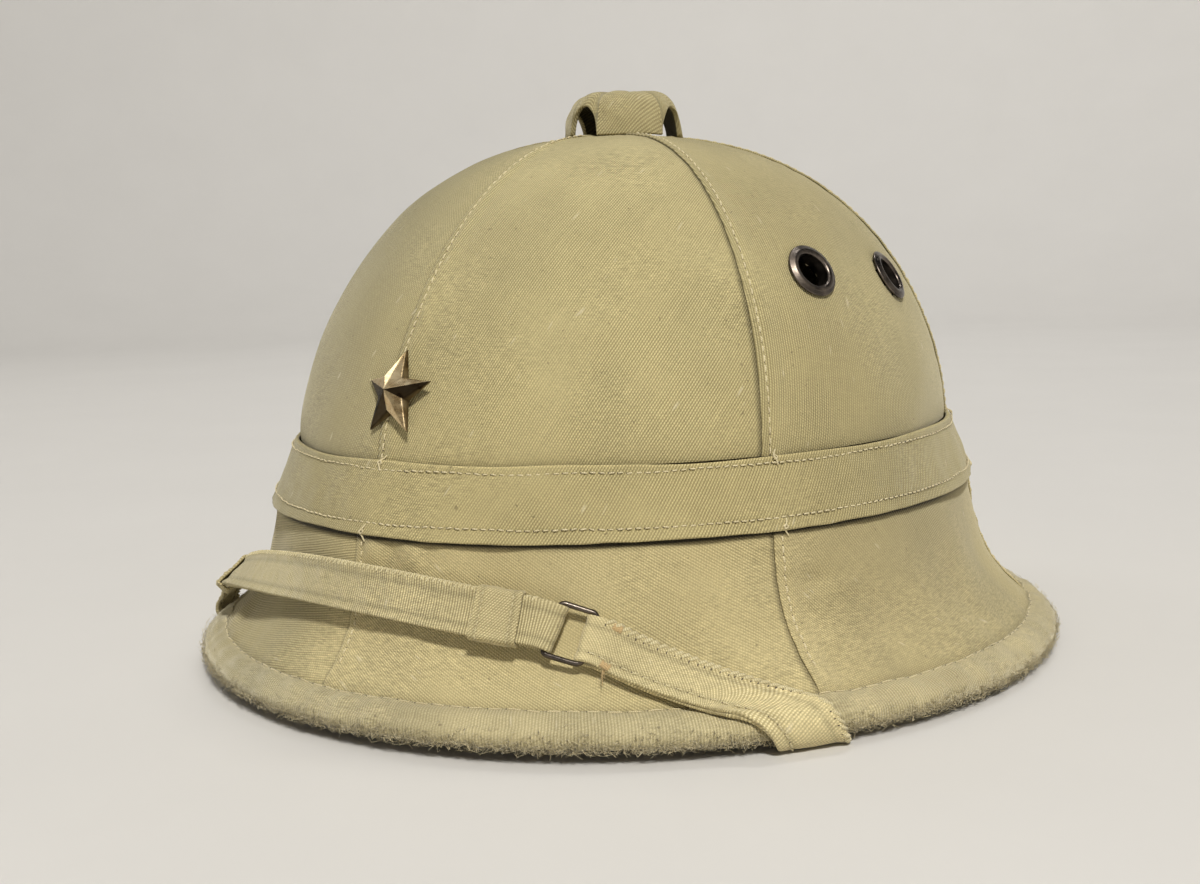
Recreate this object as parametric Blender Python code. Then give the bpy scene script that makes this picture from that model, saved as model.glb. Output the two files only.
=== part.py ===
"""Cloth-covered pith helmet with a ventilator cap, four grommets, a plain star badge and a chin strap.

The front looks along -Y, the wearer's left is +X, and +Z is up. Azimuths are in degrees from the front
towards the wearer's left. The helmet rests on its rear rim and on the strap where it passes under the rim.
"""

import math

import bmesh
import bpy
from mathutils import Vector

# Body sizes, in metres: half length runs front to back, half width from side to side
CROWN_HALF_LENGTH = 0.1190
CROWN_HALF_WIDTH = 0.1061
BAND_TOP = 0.0726
BAND_BOTTOM = 0.0525
BRIM_TOP_HALF_LENGTH = 0.1281
BRIM_TOP_HALF_WIDTH = 0.1131
HEM_HALF_LENGTH = 0.1445
HEM_HALF_WIDTH = 0.1355
HEM_HEIGHT = 0.0105
RIM_BEYOND_HEM_LENGTH = 0.0068
RIM_BEYOND_HEM_WIDTH = 0.0082
RIM_HALF_LENGTH = HEM_HALF_LENGTH + RIM_BEYOND_HEM_LENGTH
RIM_HALF_WIDTH = HEM_HALF_WIDTH + RIM_BEYOND_HEM_WIDTH
RIM_RADIUS = 0.0030
RIM_LIFT = 0.0020
CROWN_RISE = 0.0965
APEX_SHIFT = 0.0085
WALL = 0.0030
GAP = 0.0003

# How the crown closes: its reach at a share u of its rise is (1 - u ** squareness) ** (1 / fullness)
CROWN_SHAPE = {
    "front": {"squareness": 1.23, "fullness": 2.28},
    "back": {"squareness": 2.16, "fullness": 2.70},
    "side": {"squareness": 1.83, "fullness": 2.47},
}
# Share of the brim's spread that comes late, near the hem
BRIM_FLARE = 0.815

# Lapped seams of the gores and brim panels: the side is the one whose cloth lies on top
SEAMS = (
    {"azimuth": -120.0, "side": -1},
    {"azimuth": -60.0, "side": -1},
    {"azimuth": 0.0, "side": 1},
    {"azimuth": 60.0, "side": 1},
    {"azimuth": 120.0, "side": 1},
    {"azimuth": 180.0, "side": -1},
)
LAP_RISE = 0.0007
LAP_STEP = 0.0004
LAP_FLAT = 0.0045
LAP_END = 0.0080
LAP_WIDEST = 5.0
GORE_COLUMNS = 5
CROWN_LEVELS = 13
CROWN_INNER_LEVELS = (0, 3, 6, 9, 12)
SLOPE_STEP = 0.002
HALVINGS = 40
TINY = 1e-6
BRIM_OUTER_SHARES = (0.04, 0.25, 0.45, 0.62, 0.77, 0.89, 1.0)
BRIM_INNER_SHARES = (0.97, 0.75, 0.45, 0.0)
RIM_ANGLES = (55, 20, -15, -52, -90, -128, -165)
RIM_FINE_ANGLES = range(60, -172, -10)
SKIN_STEPS = 12

# Hatband
BAND_CLOTH = 0.0013

# Ventilator cap: a rounded square whose flaps face the diagonals, with an arch at each corner
CAP_HALF_WIDTH = 0.0193
CAP_HEIGHT = 0.0150
CAP_WALL = 0.0016
CAP_SQUARENESS = 4.5
CAP_FLAP_TURN = 45.0
CAP_ARCH_HALF_WIDTH = 0.0054
CAP_ARCH_HEIGHT = 0.0098
CAP_COLUMNS = (-31.0, -11.0, 11.0, 31.0, 33.5, 38.0, 45.0, 52.0, 56.5)
CAP_PROFILE = (
    {"height": 0.00, "reach": 1.000},
    {"height": 0.28, "reach": 0.973},
    {"height": 0.54, "reach": 0.922},
    {"height": 0.74, "reach": 0.848},
    {"height": 0.88, "reach": 0.735},
    {"height": 0.965, "reach": 0.600},
    {"height": 1.00, "reach": 0.440},
)

# Grommets: the pair on each side, with the share of the crown's rise that each sits at
GROMMET_PLACES = (
    {"name": "front", "azimuth": 76.0, "rise": 0.524},
    {"name": "rear", "azimuth": 102.0, "rise": 0.498},
)
GROMMET_OUTER_RADIUS = 0.0086
GROMMET_HOLE_RADIUS = 0.0054
GROMMET_METAL = 0.0006
GROMMET_LIP = 0.0016
GROMMET_TAIL = 0.0008
GROMMET_SIDES = 16
GROMMET_CUT_DEPTH = 0.0090
# Turned section of the visible flange: share of the way from hole to rim, and share of the lip's height
GROMMET_FLANGE = (
    {"way": 0.62, "lift": 0.78},
    {"way": 0.30, "lift": 1.00},
    {"way": 0.06, "lift": 0.74},
)

# Star badge
STAR_AZIMUTH = 2.1
STAR_RISE = 0.192
STAR_TURN = -5.0
STAR_RADIUS = 0.0134
STAR_WAIST = 0.41
STAR_EDGE = 0.0007
STAR_RELIEF = 0.0052

# Chin strap cloth, keepers and ring
STRAP_WIDTH = 0.0136
STRAP_CLOTH = 0.0011
STRAP_BOW = 0.0080
KEEPER_LENGTH = 0.0130
KEEPER_CLOTH = 0.0010
KEEPER_GAP = 0.00045
KEEPER_STEPS = 4
KEEPER_CORNER = 0.00035
KEEPER_OUTER_CORNER = 0.0007
RING_WIRE = 0.0017
RING_BAR_SPACING = 0.0104
RING_CORNER = 0.0011
RING_AZIMUTH = 32.4
RING_DROP = 0.405
RING_SLANT = 20.0
RING_CORNER_STEPS = 3
RING_LEAD = 0.0035
RING_CLEARANCE = 0.00075
RING_SIDES = 6
FOLD_SPREAD = 0.008
FOLD_STEPS = 4
STRAP_STEP = 0.0050
STRAP_FOLD_STEP = 0.0018
ROUTE_FINENESS = 10
ROUTE_PROBE = 0.05
STRAP_STRIPS = 3
WRAP_DROP = (0.86, 1.14)

# Routes of the strap's outer layer. drop runs from 0 at the hatband to 1 at the rim's lowest line and on
# up the inside; bow is the stand-off as a share of STRAP_BOW; lean tips the lower edge out, in degrees;
# skew turns the cross lines parallel to the rim, where the strap folds round it.
LONG_ROUTE = (
    {"azimuth": 24.5, "drop": 0.330, "bow": 0.66, "lean": 2.0, "skew": 0.0},
    {"azimuth": 10.0, "drop": 0.264, "bow": 0.56, "lean": 4.0, "skew": 0.0},
    {"azimuth": -3.0, "drop": 0.248, "bow": 0.56, "lean": 6.0, "skew": 0.0},
    {"azimuth": -15.0, "drop": 0.276, "bow": 0.62, "lean": 9.0, "skew": 0.0},
    {"azimuth": -27.0, "drop": 0.350, "bow": 0.84, "lean": 13.0, "skew": 0.0},
    {"azimuth": -38.0, "drop": 0.480, "bow": 1.05, "lean": 13.0, "skew": 0.0},
    {"azimuth": -47.0, "drop": 0.650, "bow": 0.84, "lean": 6.0, "skew": 0.3},
    {"azimuth": -54.0, "drop": 0.835, "bow": 0.52, "lean": 0.0, "skew": 1.0},
    {"azimuth": -57.5, "drop": 0.970, "bow": 0.39, "lean": 0.0, "skew": 1.0},
    {"azimuth": -61.0, "drop": 1.120, "bow": 0.38, "lean": 0.0, "skew": 1.0},
    {"azimuth": -66.0, "drop": 1.300, "bow": 0.28, "lean": 0.0, "skew": 0.4},
    {"azimuth": -71.0, "drop": 1.450, "bow": 0.26, "lean": 0.0, "skew": 0.2},
    {"azimuth": -75.0, "drop": 1.560, "bow": 0.26, "lean": 0.0, "skew": 0.2},
)
SHORT_ROUTE = (
    {"azimuth": 39.0, "drop": 0.525, "bow": 0.56, "lean": 0.0, "skew": 0.0},
    {"azimuth": 45.8, "drop": 0.672, "bow": 0.48, "lean": 0.0, "skew": 0.2},
    {"azimuth": 53.3, "drop": 0.838, "bow": 0.39, "lean": 0.0, "skew": 1.0},
    {"azimuth": 57.0, "drop": 0.970, "bow": 0.38, "lean": 0.0, "skew": 1.0},
    {"azimuth": 60.6, "drop": 1.120, "bow": 0.38, "lean": 0.0, "skew": 1.0},
    {"azimuth": 65.6, "drop": 1.300, "bow": 0.44, "lean": 0.0, "skew": 0.4},
    {"azimuth": 70.6, "drop": 1.450, "bow": 0.45, "lean": 0.0, "skew": 0.2},
    {"azimuth": 74.6, "drop": 1.560, "bow": 0.45, "lean": 0.0, "skew": 0.2},
)
KEEPER_LEFT_AZIMUTH = 23.2
KEEPER_RIGHT_AZIMUTH = -42.0
TAIL_END_AZIMUTH = -44.5

MATERIALS = {
    "khaki_cloth": {"color": (0.50, 0.42, 0.24), "roughness": 0.92, "metallic": 0.0},
    "strap_cloth": {"color": (0.46, 0.39, 0.23), "roughness": 0.90, "metallic": 0.0},
    "gunmetal": {"color": (0.12, 0.10, 0.08), "roughness": 0.30, "metallic": 1.0},
    "copper_bronze": {"color": (0.72, 0.50, 0.32), "roughness": 0.22, "metallic": 1.0},
}


def clear_scene():
    """Takes every object out of the open scene."""
    for item in list(bpy.data.objects):
        bpy.data.objects.remove(item, do_unlink=True)


def material(name):
    """Makes the Principled material of one piece."""
    look = MATERIALS[name]
    made = bpy.data.materials.new(name)
    made.use_nodes = True
    shader = made.node_tree.nodes["Principled BSDF"]
    shader.inputs["Base Color"].default_value = (*look["color"], 1.0)
    shader.inputs["Roughness"].default_value = look["roughness"]
    shader.inputs["Metallic"].default_value = look["metallic"]
    return made


def between(low, high, share):
    return low + (high - low) * share


def add_rings(mesh, rings, wrap):
    """Joins closed loops of points with faces, in a closed circle or with an end face at both ends."""
    loops = [[mesh.verts.new(point) for point in ring] for ring in rings]
    pairs = list(zip(loops, loops[1:]))
    if wrap:
        pairs.append((loops[-1], loops[0]))
    for first, second in pairs:
        for i in range(len(first)):
            j = (i + 1) % len(first)
            mesh.faces.new((first[i], first[j], second[j], second[i]))
    if not wrap:
        mesh.faces.new(loops[0])
        mesh.faces.new(loops[-1])


def add_domed_shell(mesh, columns, outer_pole, inner_pole):
    """Joins columns that run from the outer pole, round the lower edge, to the inner pole."""
    lines = [[mesh.verts.new(point) for point in column] for column in columns]
    top = mesh.verts.new(outer_pole)
    under = mesh.verts.new(inner_pole)
    for first, second in zip(lines, lines[1:] + lines[:1]):
        mesh.faces.new((top, first[0], second[0]))
        mesh.faces.new((under, second[-1], first[-1]))
        for i in range(len(first) - 1):
            mesh.faces.new((first[i], first[i + 1], second[i + 1], second[i]))


def finish_object(name, mesh, look, smooth_angle=40.0):
    """Turns the faces outwards and puts the mesh in the scene as one named piece."""
    bmesh.ops.recalc_face_normals(mesh, faces=mesh.faces)
    data = bpy.data.meshes.new(name)
    mesh.to_mesh(data)
    mesh.free()
    data.shade_smooth()
    data.set_sharp_from_angle(angle=math.radians(smooth_angle))
    piece = bpy.data.objects.new(name, data)
    bpy.context.scene.collection.objects.link(piece)
    data.materials.append(material(look))
    return piece


def oval(azimuth, half_length, half_width, height, shift=0.0):
    """A point on a level oval round the helmet's axis."""
    turn = math.radians(azimuth)
    return Vector((half_width * math.sin(turn), -half_length * math.cos(turn) - shift, height))


def reach(part, rise):
    """The crown's width share at a share of its rise."""
    shape = CROWN_SHAPE[part]
    return max(0.0, 1 - rise ** shape["squareness"]) ** (1 / shape["fullness"])


def crown_point(azimuth, rise, inset=0.0):
    """A point on the crown, or on the same form set in by inset."""
    end = "front" if math.cos(math.radians(azimuth)) > 0 else "back"
    half_length = (CROWN_HALF_LENGTH - inset) * reach(end, rise)
    half_width = (CROWN_HALF_WIDTH - inset) * reach("side", rise)
    height = BAND_TOP + (CROWN_RISE - inset) * rise
    return oval(azimuth, half_length, half_width, height, APEX_SHIFT * rise)


def crown_top(x, y, inset):
    """Height of the crown's form above a point of the plan, found by halving."""
    low, high = 0.0, 1.0
    for _ in range(HALVINGS):
        rise = (low + high) / 2
        end = "front" if -y > APEX_SHIFT * rise else "back"
        along = (y + APEX_SHIFT * rise) / max((CROWN_HALF_LENGTH - inset) * reach(end, rise), TINY)
        across = x / max((CROWN_HALF_WIDTH - inset) * reach("side", rise), TINY)
        if along * along + across * across < 1:
            low = rise
        else:
            high = rise
    return BAND_TOP + (CROWN_RISE - inset) * low


def band_cone(azimuth, height, inset=0.0):
    """A point on the slanting body under the hatband."""
    share = (BAND_TOP - height) / (BAND_TOP - BAND_BOTTOM)
    half_length = between(CROWN_HALF_LENGTH, BRIM_TOP_HALF_LENGTH, share) - inset
    half_width = between(CROWN_HALF_WIDTH, BRIM_TOP_HALF_WIDTH, share) - inset
    return oval(azimuth, half_length, half_width, height)


def rim_raise(azimuth):
    """The rim lies on the floor at the back and rises towards the front."""
    return RIM_LIFT * (1 + math.cos(math.radians(azimuth)))


def brim_point(azimuth, share, inset=0.0):
    """A point on the brim: share 0 is at the hatband and 1 at the hem line."""
    spread = (1 - BRIM_FLARE) * share + BRIM_FLARE * share ** 3
    half_length = between(BRIM_TOP_HALF_LENGTH, HEM_HALF_LENGTH, spread) - inset
    half_width = between(BRIM_TOP_HALF_WIDTH, HEM_HALF_WIDTH, spread) - inset
    hem_height = HEM_HEIGHT + rim_raise(azimuth) - RIM_LIFT
    return oval(azimuth, half_length, half_width, between(BAND_BOTTOM, hem_height, share))


def rim_point(azimuth, angle):
    """A point on the padded roll of the rim: 0 degrees points out and -90 down."""
    turn = math.radians(angle)
    out = RIM_RADIUS * (math.cos(turn) - 1)
    height = rim_raise(azimuth) + RIM_RADIUS * (1 + math.sin(turn))
    return oval(azimuth, RIM_HALF_LENGTH + out, RIM_HALF_WIDTH + out, height)


def panel_columns():
    """Columns round the helmet: a seam's base line, its raised lap and the plain cloth between seams."""
    lap_lines = ((-LAP_STEP, 0.0), (0.0, 1.0), (LAP_FLAT, 1.0), (LAP_END, 0.0))
    columns = []
    for seam in SEAMS:
        for shift, raised in lap_lines:
            columns.append({"azimuth": seam["azimuth"], "shift": seam["side"] * shift, "lap": raised})
        for i in range(GORE_COLUMNS):
            step = 360.0 / len(SEAMS) * (i + 0.5) / GORE_COLUMNS
            columns.append({"azimuth": seam["azimuth"] + step, "shift": 0.0, "lap": 0.0})
    return sorted(columns, key=lambda column: column_azimuth(column, CROWN_HALF_LENGTH))


def column_azimuth(column, radius):
    """The column's azimuth where the body has this radius: a lap keeps its width in metres."""
    turn = math.degrees(column["shift"] / max(radius, TINY))
    widest = LAP_WIDEST * min(1.0, abs(column["shift"]) / LAP_END)
    return column["azimuth"] + max(-widest, min(widest, turn))


def on_column(column, surface, place, inset, lapped):
    """A point of a surface on a column, raised where the column is on a lap."""
    flat = surface(column["azimuth"], place, 0.0)
    azimuth = column_azimuth(column, math.hypot(flat.x, flat.y))
    raised = LAP_RISE * column["lap"] if lapped else 0.0
    return surface(azimuth, place, inset - raised)


def make_crown():
    """The six-gore shell, from its apex to the joint under the hatband."""
    joint = (BAND_TOP + BAND_BOTTOM + GAP) / 2
    rises = [math.sin(math.pi / 2 * i / CROWN_LEVELS) for i in range(CROWN_LEVELS)]
    columns = []
    for column in panel_columns():
        points = [on_column(column, crown_point, rise, 0.0, True) for rise in reversed(rises[1:])]
        points.append(on_column(column, crown_point, 0.0, 0.0, False))
        points.append(on_column(column, band_cone, joint, 0.0, False))
        points.append(on_column(column, band_cone, joint, WALL, False))
        for level in CROWN_INNER_LEVELS:
            points.append(on_column(column, crown_point, rises[level], WALL, False))
        columns.append(points)
    mesh = bmesh.new()
    add_domed_shell(mesh, columns, crown_point(0.0, 1.0), crown_point(0.0, 1.0, WALL))
    crown = finish_object("crown", mesh, "khaki_cloth")
    for number, (point, normal, _) in enumerate(grommet_seats().values()):
        cutter = make_cutter(f"grommet_hole_{number}", point, normal)
        cut = crown.modifiers.new(cutter.name, "BOOLEAN")
        cut.operation = "DIFFERENCE"
        cut.object = cutter
    return crown


def make_cutter(name, point, normal):
    """A hidden cylinder that cuts a grommet's hole through the crown's wall."""
    radius = GROMMET_HOLE_RADIUS + GROMMET_METAL + GAP
    mesh = bmesh.new()
    rings = [turned_ring(point, normal, radius, side * GROMMET_CUT_DEPTH) for side in (-1, 1)]
    add_rings(mesh, rings, wrap=False)
    cutter = finish_object(name, mesh, "gunmetal")
    cutter.hide_render = True
    cutter.display_type = "WIRE"
    return cutter


def turned_ring(point, normal, radius, depth):
    """A ring of points round an axis, at a depth along it."""
    side = normal.cross(Vector((0.0, 0.0, 1.0))).normalized()
    other = normal.cross(side)
    ring = []
    for i in range(GROMMET_SIDES):
        turn = 2 * math.pi * i / GROMMET_SIDES
        ring.append(point + normal * depth + (side * math.cos(turn) + other * math.sin(turn)) * radius)
    return ring


def crown_frame(azimuth, rise):
    """A point of the crown with its outward normal and the direction up the gore."""
    point = crown_point(azimuth, rise)
    up = (crown_point(azimuth, rise + SLOPE_STEP) - crown_point(azimuth, rise - SLOPE_STEP)).normalized()
    along = crown_point(azimuth + 1, rise) - crown_point(azimuth - 1, rise)
    normal = along.cross(up).normalized()
    return point, normal, up


def grommet_seats():
    """The place of each grommet, mirrored to both sides."""
    seats = {}
    for side, sign in (("left", 1), ("right", -1)):
        for place in GROMMET_PLACES:
            seats[f"grommet_{side}_{place['name']}"] = crown_frame(sign * place["azimuth"], place["rise"])
    return seats


def make_grommets():
    """Turned eyelets: a flared flange on the cloth, a rounded lip and a barrel through the wall."""
    hole = GROMMET_HOLE_RADIUS
    metal = GROMMET_METAL
    outer = GROMMET_OUTER_RADIUS
    tail = -WALL - GROMMET_TAIL
    profile = (
        (outer, GAP),
        (outer, GAP + metal),
        *((between(hole, outer, row["way"]), GROMMET_LIP * row["lift"]) for row in GROMMET_FLANGE),
        (hole, GAP),
        (hole, tail),
        (hole + metal, tail),
        (hole + metal, GAP),
    )
    for name, (point, normal, _) in grommet_seats().items():
        mesh = bmesh.new()
        rings = [turned_ring(point, normal, radius, depth) for radius, depth in profile]
        add_rings(mesh, rings, wrap=True)
        finish_object(name, mesh, "gunmetal", 50.0)


def make_brim():
    """The six-panel brim with its padded roll, from under the hatband to the rim and back up inside."""
    joint = (BAND_TOP + BAND_BOTTOM - GAP) / 2
    rings = []
    for column in panel_columns():
        ring = [on_column(column, band_cone, joint, 0.0, False)]
        ring.append(on_column(column, brim_point, 0.0, 0.0, False))
        for share in BRIM_OUTER_SHARES:
            ring.append(on_column(column, brim_point, share, 0.0, share < 1.0))
        azimuth = column_azimuth(column, RIM_HALF_LENGTH)
        ring.extend(rim_point(azimuth, angle) for angle in RIM_ANGLES)
        for share in BRIM_INNER_SHARES:
            ring.append(on_column(column, brim_point, share, WALL, False))
        ring.append(on_column(column, band_cone, joint, WALL, False))
        rings.append(ring)
    mesh = bmesh.new()
    add_rings(mesh, rings, wrap=True)
    finish_object("brim", mesh, "khaki_cloth")


def make_hatband():
    """The cloth strip over the joint, a little proud of the crown and the brim."""
    near = -GAP
    far = -GAP - BAND_CLOTH
    middle = (BAND_TOP + BAND_BOTTOM) / 2
    section = ((BAND_TOP, near), (BAND_TOP, far), (middle, far), (BAND_BOTTOM, far), (BAND_BOTTOM, near))
    rings = []
    for column in panel_columns():
        azimuth = column_azimuth(column, CROWN_HALF_LENGTH)
        rings.append([band_cone(azimuth, height, inset) for height, inset in section])
    mesh = bmesh.new()
    add_rings(mesh, rings, wrap=True)
    finish_object("hatband", mesh, "khaki_cloth")


def cap_reach(height_share):
    """The cap's width share at a share of its height, read between the rows of its profile."""
    for low, high in zip(CAP_PROFILE, CAP_PROFILE[1:]):
        if height_share <= high["height"]:
            share = (height_share - low["height"]) / (high["height"] - low["height"])
            return between(low["reach"], high["reach"], share)
    return CAP_PROFILE[-1]["reach"]


def cap_radius(azimuth, height_share, inset):
    """The rounded square's radius at an azimuth from a flap's middle."""
    turn = math.radians(azimuth)
    corner = abs(math.cos(turn)) ** CAP_SQUARENESS + abs(math.sin(turn)) ** CAP_SQUARENESS
    return (CAP_HALF_WIDTH * cap_reach(height_share) - inset) / corner ** (1 / CAP_SQUARENESS)


def cap_floor(azimuth):
    """Height of the cap's lower edge over the apex: on the crown at a flap, and an arch at a corner."""
    radius = cap_radius(azimuth, 0.0, 0.0)
    turn = math.radians(azimuth + CAP_FLAP_TURN)
    seat = crown_top(radius * math.sin(turn), -radius * math.cos(turn), -LAP_RISE) + GAP
    from_corner = radius * abs(math.sin(math.radians((azimuth % 90) - 45)))
    open_share = max(0.0, 1 - (from_corner / CAP_ARCH_HALF_WIDTH) ** 2)
    return seat - cap_base() + CAP_ARCH_HEIGHT * math.sqrt(open_share)


def cap_base():
    return BAND_TOP + CROWN_RISE


def cap_point(azimuth, share, inset):
    """A point on the cap: share 0 is its lower edge at that azimuth and 1 its top."""
    top = CAP_HEIGHT - inset
    height = between(cap_floor(azimuth), top, share)
    radius = cap_radius(azimuth, max(0.0, height / top), inset)
    turn = math.radians(azimuth + CAP_FLAP_TURN)
    return Vector((radius * math.sin(turn), -radius * math.cos(turn), cap_base() + height))


def make_vent_cap():
    """The cloth-covered cap: four flaps that reach the crown and four arched openings."""
    shares = [row["height"] for row in CAP_PROFILE]
    columns = []
    for quarter in range(4):
        for turn in CAP_COLUMNS:
            azimuth = quarter * 90.0 + turn
            points = [cap_point(azimuth, share, 0.0) for share in reversed(shares)]
            points.extend(cap_point(azimuth, share, CAP_WALL) for share in shares[:-1])
            columns.append(points)
    mesh = bmesh.new()
    top = Vector((0.0, 0.0, cap_base() + CAP_HEIGHT))
    under = Vector((0.0, 0.0, cap_base() + CAP_HEIGHT - CAP_WALL))
    add_domed_shell(mesh, columns, top, under)
    finish_object("vent_cap", mesh, "khaki_cloth")


def make_star_badge():
    """A plain five-pointed star with a raised middle and ridged arms, turned by the lap that it lies on."""
    point, outward, up = crown_frame(STAR_AZIMUTH, STAR_RISE)
    base = point + outward * (LAP_RISE + GAP)
    turn = math.radians(STAR_TURN)
    normal = outward * math.cos(turn) + up.cross(outward) * math.sin(turn)
    side = up.cross(normal)
    mesh = bmesh.new()
    outline = []
    for i in range(10):
        turn = math.pi * i / 5
        radius = STAR_RADIUS if i % 2 == 0 else STAR_RADIUS * STAR_WAIST
        outline.append(base + (up * math.cos(turn) + side * math.sin(turn)) * radius)
    back = [mesh.verts.new(corner) for corner in outline]
    front = [mesh.verts.new(corner + normal * STAR_EDGE) for corner in outline]
    back_middle = mesh.verts.new(base)
    front_middle = mesh.verts.new(base + normal * STAR_RELIEF)
    for i in range(10):
        j = (i + 1) % 10
        mesh.faces.new((front_middle, front[i], front[j]))
        mesh.faces.new((back_middle, back[j], back[i]))
        mesh.faces.new((front[i], back[i], back[j], front[j]))
    finish_object("star_badge", mesh, "copper_bronze", 5.0)


def brim_section(azimuth):
    """The brim's skin at an azimuth as points: down the outside, round the roll and up the inside."""
    outside = [brim_point(azimuth, i / SKIN_STEPS) for i in range(SKIN_STEPS + 1)]
    roll = [rim_point(azimuth, angle) for angle in RIM_FINE_ANGLES]
    inside = [brim_point(azimuth, 1 - i / SKIN_STEPS, WALL) for i in range(1, SKIN_STEPS + 1)]
    return outside + roll + inside


def skin_lengths(azimuth):
    """The section's points, the length along it at each, and the length down to the rim's lowest line."""
    points = brim_section(azimuth)
    lengths = [0.0]
    for first, second in zip(points, points[1:]):
        lengths.append(lengths[-1] + (second - first).length)
    lowest = min(range(len(points)), key=lambda i: points[i].z)
    return points, lengths, lengths[lowest]


def on_skin(azimuth, drop, height):
    """A point off the brim's skin: drop is a length down the section, height the stand-off from it."""
    points, lengths, _ = skin_lengths(azimuth)
    turn = math.radians(azimuth)
    level = Vector((math.sin(turn) / BRIM_TOP_HALF_WIDTH, -math.cos(turn) / BRIM_TOP_HALF_LENGTH, 0.0))
    level.normalize()
    index = 1
    while index < len(points) - 2 and lengths[index + 1] < drop:
        index += 1
    share = (drop - lengths[index]) / (lengths[index + 1] - lengths[index])
    point = points[index].lerp(points[index + 1], share)
    before = points[index + 1] - points[index - 1]
    after = points[min(index + 2, len(points) - 1)] - points[index]
    along = before.lerp(after, share)
    out = Vector((-along.z, along.dot(level)))
    out.normalize()
    return point + (level * out.x + Vector((0.0, 0.0, 1.0)) * out.y) * height


def rim_scale(azimuth, drop, height):
    """Metres of way round the helmet for a degree of azimuth, at a place off the brim's skin."""
    return (on_skin(azimuth + 0.5, drop, height) - on_skin(azimuth - 0.5, drop, height)).length


def smooth(rows, key, place):
    """Reads a column of a route at a place between its rows, on a smooth curve through them."""
    index = min(int(place), len(rows) - 2)
    share = place - index
    before = rows[max(index - 1, 0)][key]
    first = rows[index][key]
    second = rows[index + 1][key]
    after = rows[min(index + 2, len(rows) - 1)][key]
    start = (second - before) / 2
    end = (after - first) / 2
    curve = first + start * share + (3 * (second - first) - 2 * start - end) * share ** 2
    return curve + (2 * (first - second) + start + end) * share ** 3


def ring_row(side, beyond):
    """A route's row in line with the ring, beyond its bar: side -1 is the long strap's and 1 the short's."""
    slant = math.radians(RING_SLANT)
    _, _, full = skin_lengths(RING_AZIMUTH)
    drop = RING_DROP * full
    bow = ring_height() + fold_radius()
    along = side * (RING_BAR_SPACING / 2 + beyond)
    azimuth = RING_AZIMUTH + along * math.cos(slant) / rim_scale(RING_AZIMUTH, drop, bow)
    return {
        "azimuth": azimuth,
        "drop": RING_DROP + along * math.sin(slant) / full,
        "bow": bow / STRAP_BOW,
        "lean": 0.0,
        "skew": 0.0,
    }


def full_route(side, rows):
    """A strap's whole route: straight off the ring's bar and then through its own rows."""
    return (ring_row(side, 0.0), ring_row(side, RING_LEAD), *rows)


def fold_radius():
    """Radius of the middle of the cloth where a strap folds round a bar of the ring."""
    return RING_WIRE / 2 + GAP + STRAP_CLOTH / 2


def ring_height():
    """Stand-off of the ring's wire, which leaves room for the strap under it."""
    return fold_radius() + STRAP_CLOTH / 2 + RING_CLEARANCE + LAP_RISE


def route_lengths(rows):
    """Pairs of a place in a route and the way to it along the strap."""
    marks = [(0.0, 0.0)]
    for i in range(1, ROUTE_FINENESS * (len(rows) - 1) + 1):
        place = i / ROUTE_FINENESS
        before = marks[-1][0]
        azimuth = smooth(rows, "azimuth", place)
        _, _, full = skin_lengths(azimuth)
        drop = smooth(rows, "drop", place)
        scale = rim_scale(azimuth, drop * full, smooth(rows, "bow", place) * STRAP_BOW)
        run_x = (azimuth - smooth(rows, "azimuth", before)) * scale
        run_y = (drop - smooth(rows, "drop", before)) * full
        marks.append((place, marks[-1][1] + math.hypot(run_x, run_y)))
    return marks


def station_at(rows, marks, distance):
    """The station of a route at a way along the strap."""
    for before, after in zip(marks, marks[1:]):
        if distance <= after[1]:
            share = (distance - before[1]) / (after[1] - before[1])
            return station(rows, between(before[0], after[0], share))
    return station(rows, marks[-1][0])


def distance_to(rows, marks, azimuth):
    """The way along the strap to where its route passes an azimuth."""
    nearest = min(marks, key=lambda mark: abs(smooth(rows, "azimuth", mark[0]) - azimuth))
    return nearest[1]


def station(rows, place):
    """One station of a route."""
    azimuth = smooth(rows, "azimuth", place)
    _, _, full = skin_lengths(azimuth)
    drop = smooth(rows, "drop", place) * full
    height = smooth(rows, "bow", place) * STRAP_BOW
    low = max(place - ROUTE_PROBE, 0.0)
    high = min(place + ROUTE_PROBE, len(rows) - 1)
    scale = rim_scale(azimuth, drop, height)
    run_x = (smooth(rows, "azimuth", high) - smooth(rows, "azimuth", low)) * scale
    run_y = (smooth(rows, "drop", high) - smooth(rows, "drop", low)) * full
    run = Vector((run_x, run_y)).normalized()
    square = Vector((-run.y, run.x))
    if square.y < 0:
        square = -square
    rimward = Vector((math.copysign(1.0, square.x), 0.0))
    cross = square.lerp(rimward, max(0.0, min(1.0, smooth(rows, "skew", place)))).normalized()
    return {
        "azimuth": azimuth,
        "drop": drop,
        "height": height,
        "scale": scale,
        "run": run,
        "cross": cross / cross.dot(square),
        "lean": math.tan(math.radians(smooth(rows, "lean", place))),
    }


def strap_place(at, ahead, across, height, floor=0.0):
    """A point ahead of a station, across the strap and at a stand-off, and no lower than floor."""
    shift = at["run"] * ahead + at["cross"] * across
    azimuth = at["azimuth"] + shift.x / at["scale"]
    point = on_skin(azimuth, at["drop"] + shift.y, height + at["lean"] * across)
    point.z = max(point.z, floor)
    return point


def layer_pitch(distance):
    """Distance between the strap's two layers, wide at the fold and close further on."""
    wide = 2 * fold_radius()
    close = STRAP_CLOTH + GAP
    share = max(0.0, min(1.0, (distance - RING_WIRE) / FOLD_SPREAD))
    return between(wide, close, share * share * (3 - 2 * share))


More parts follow.
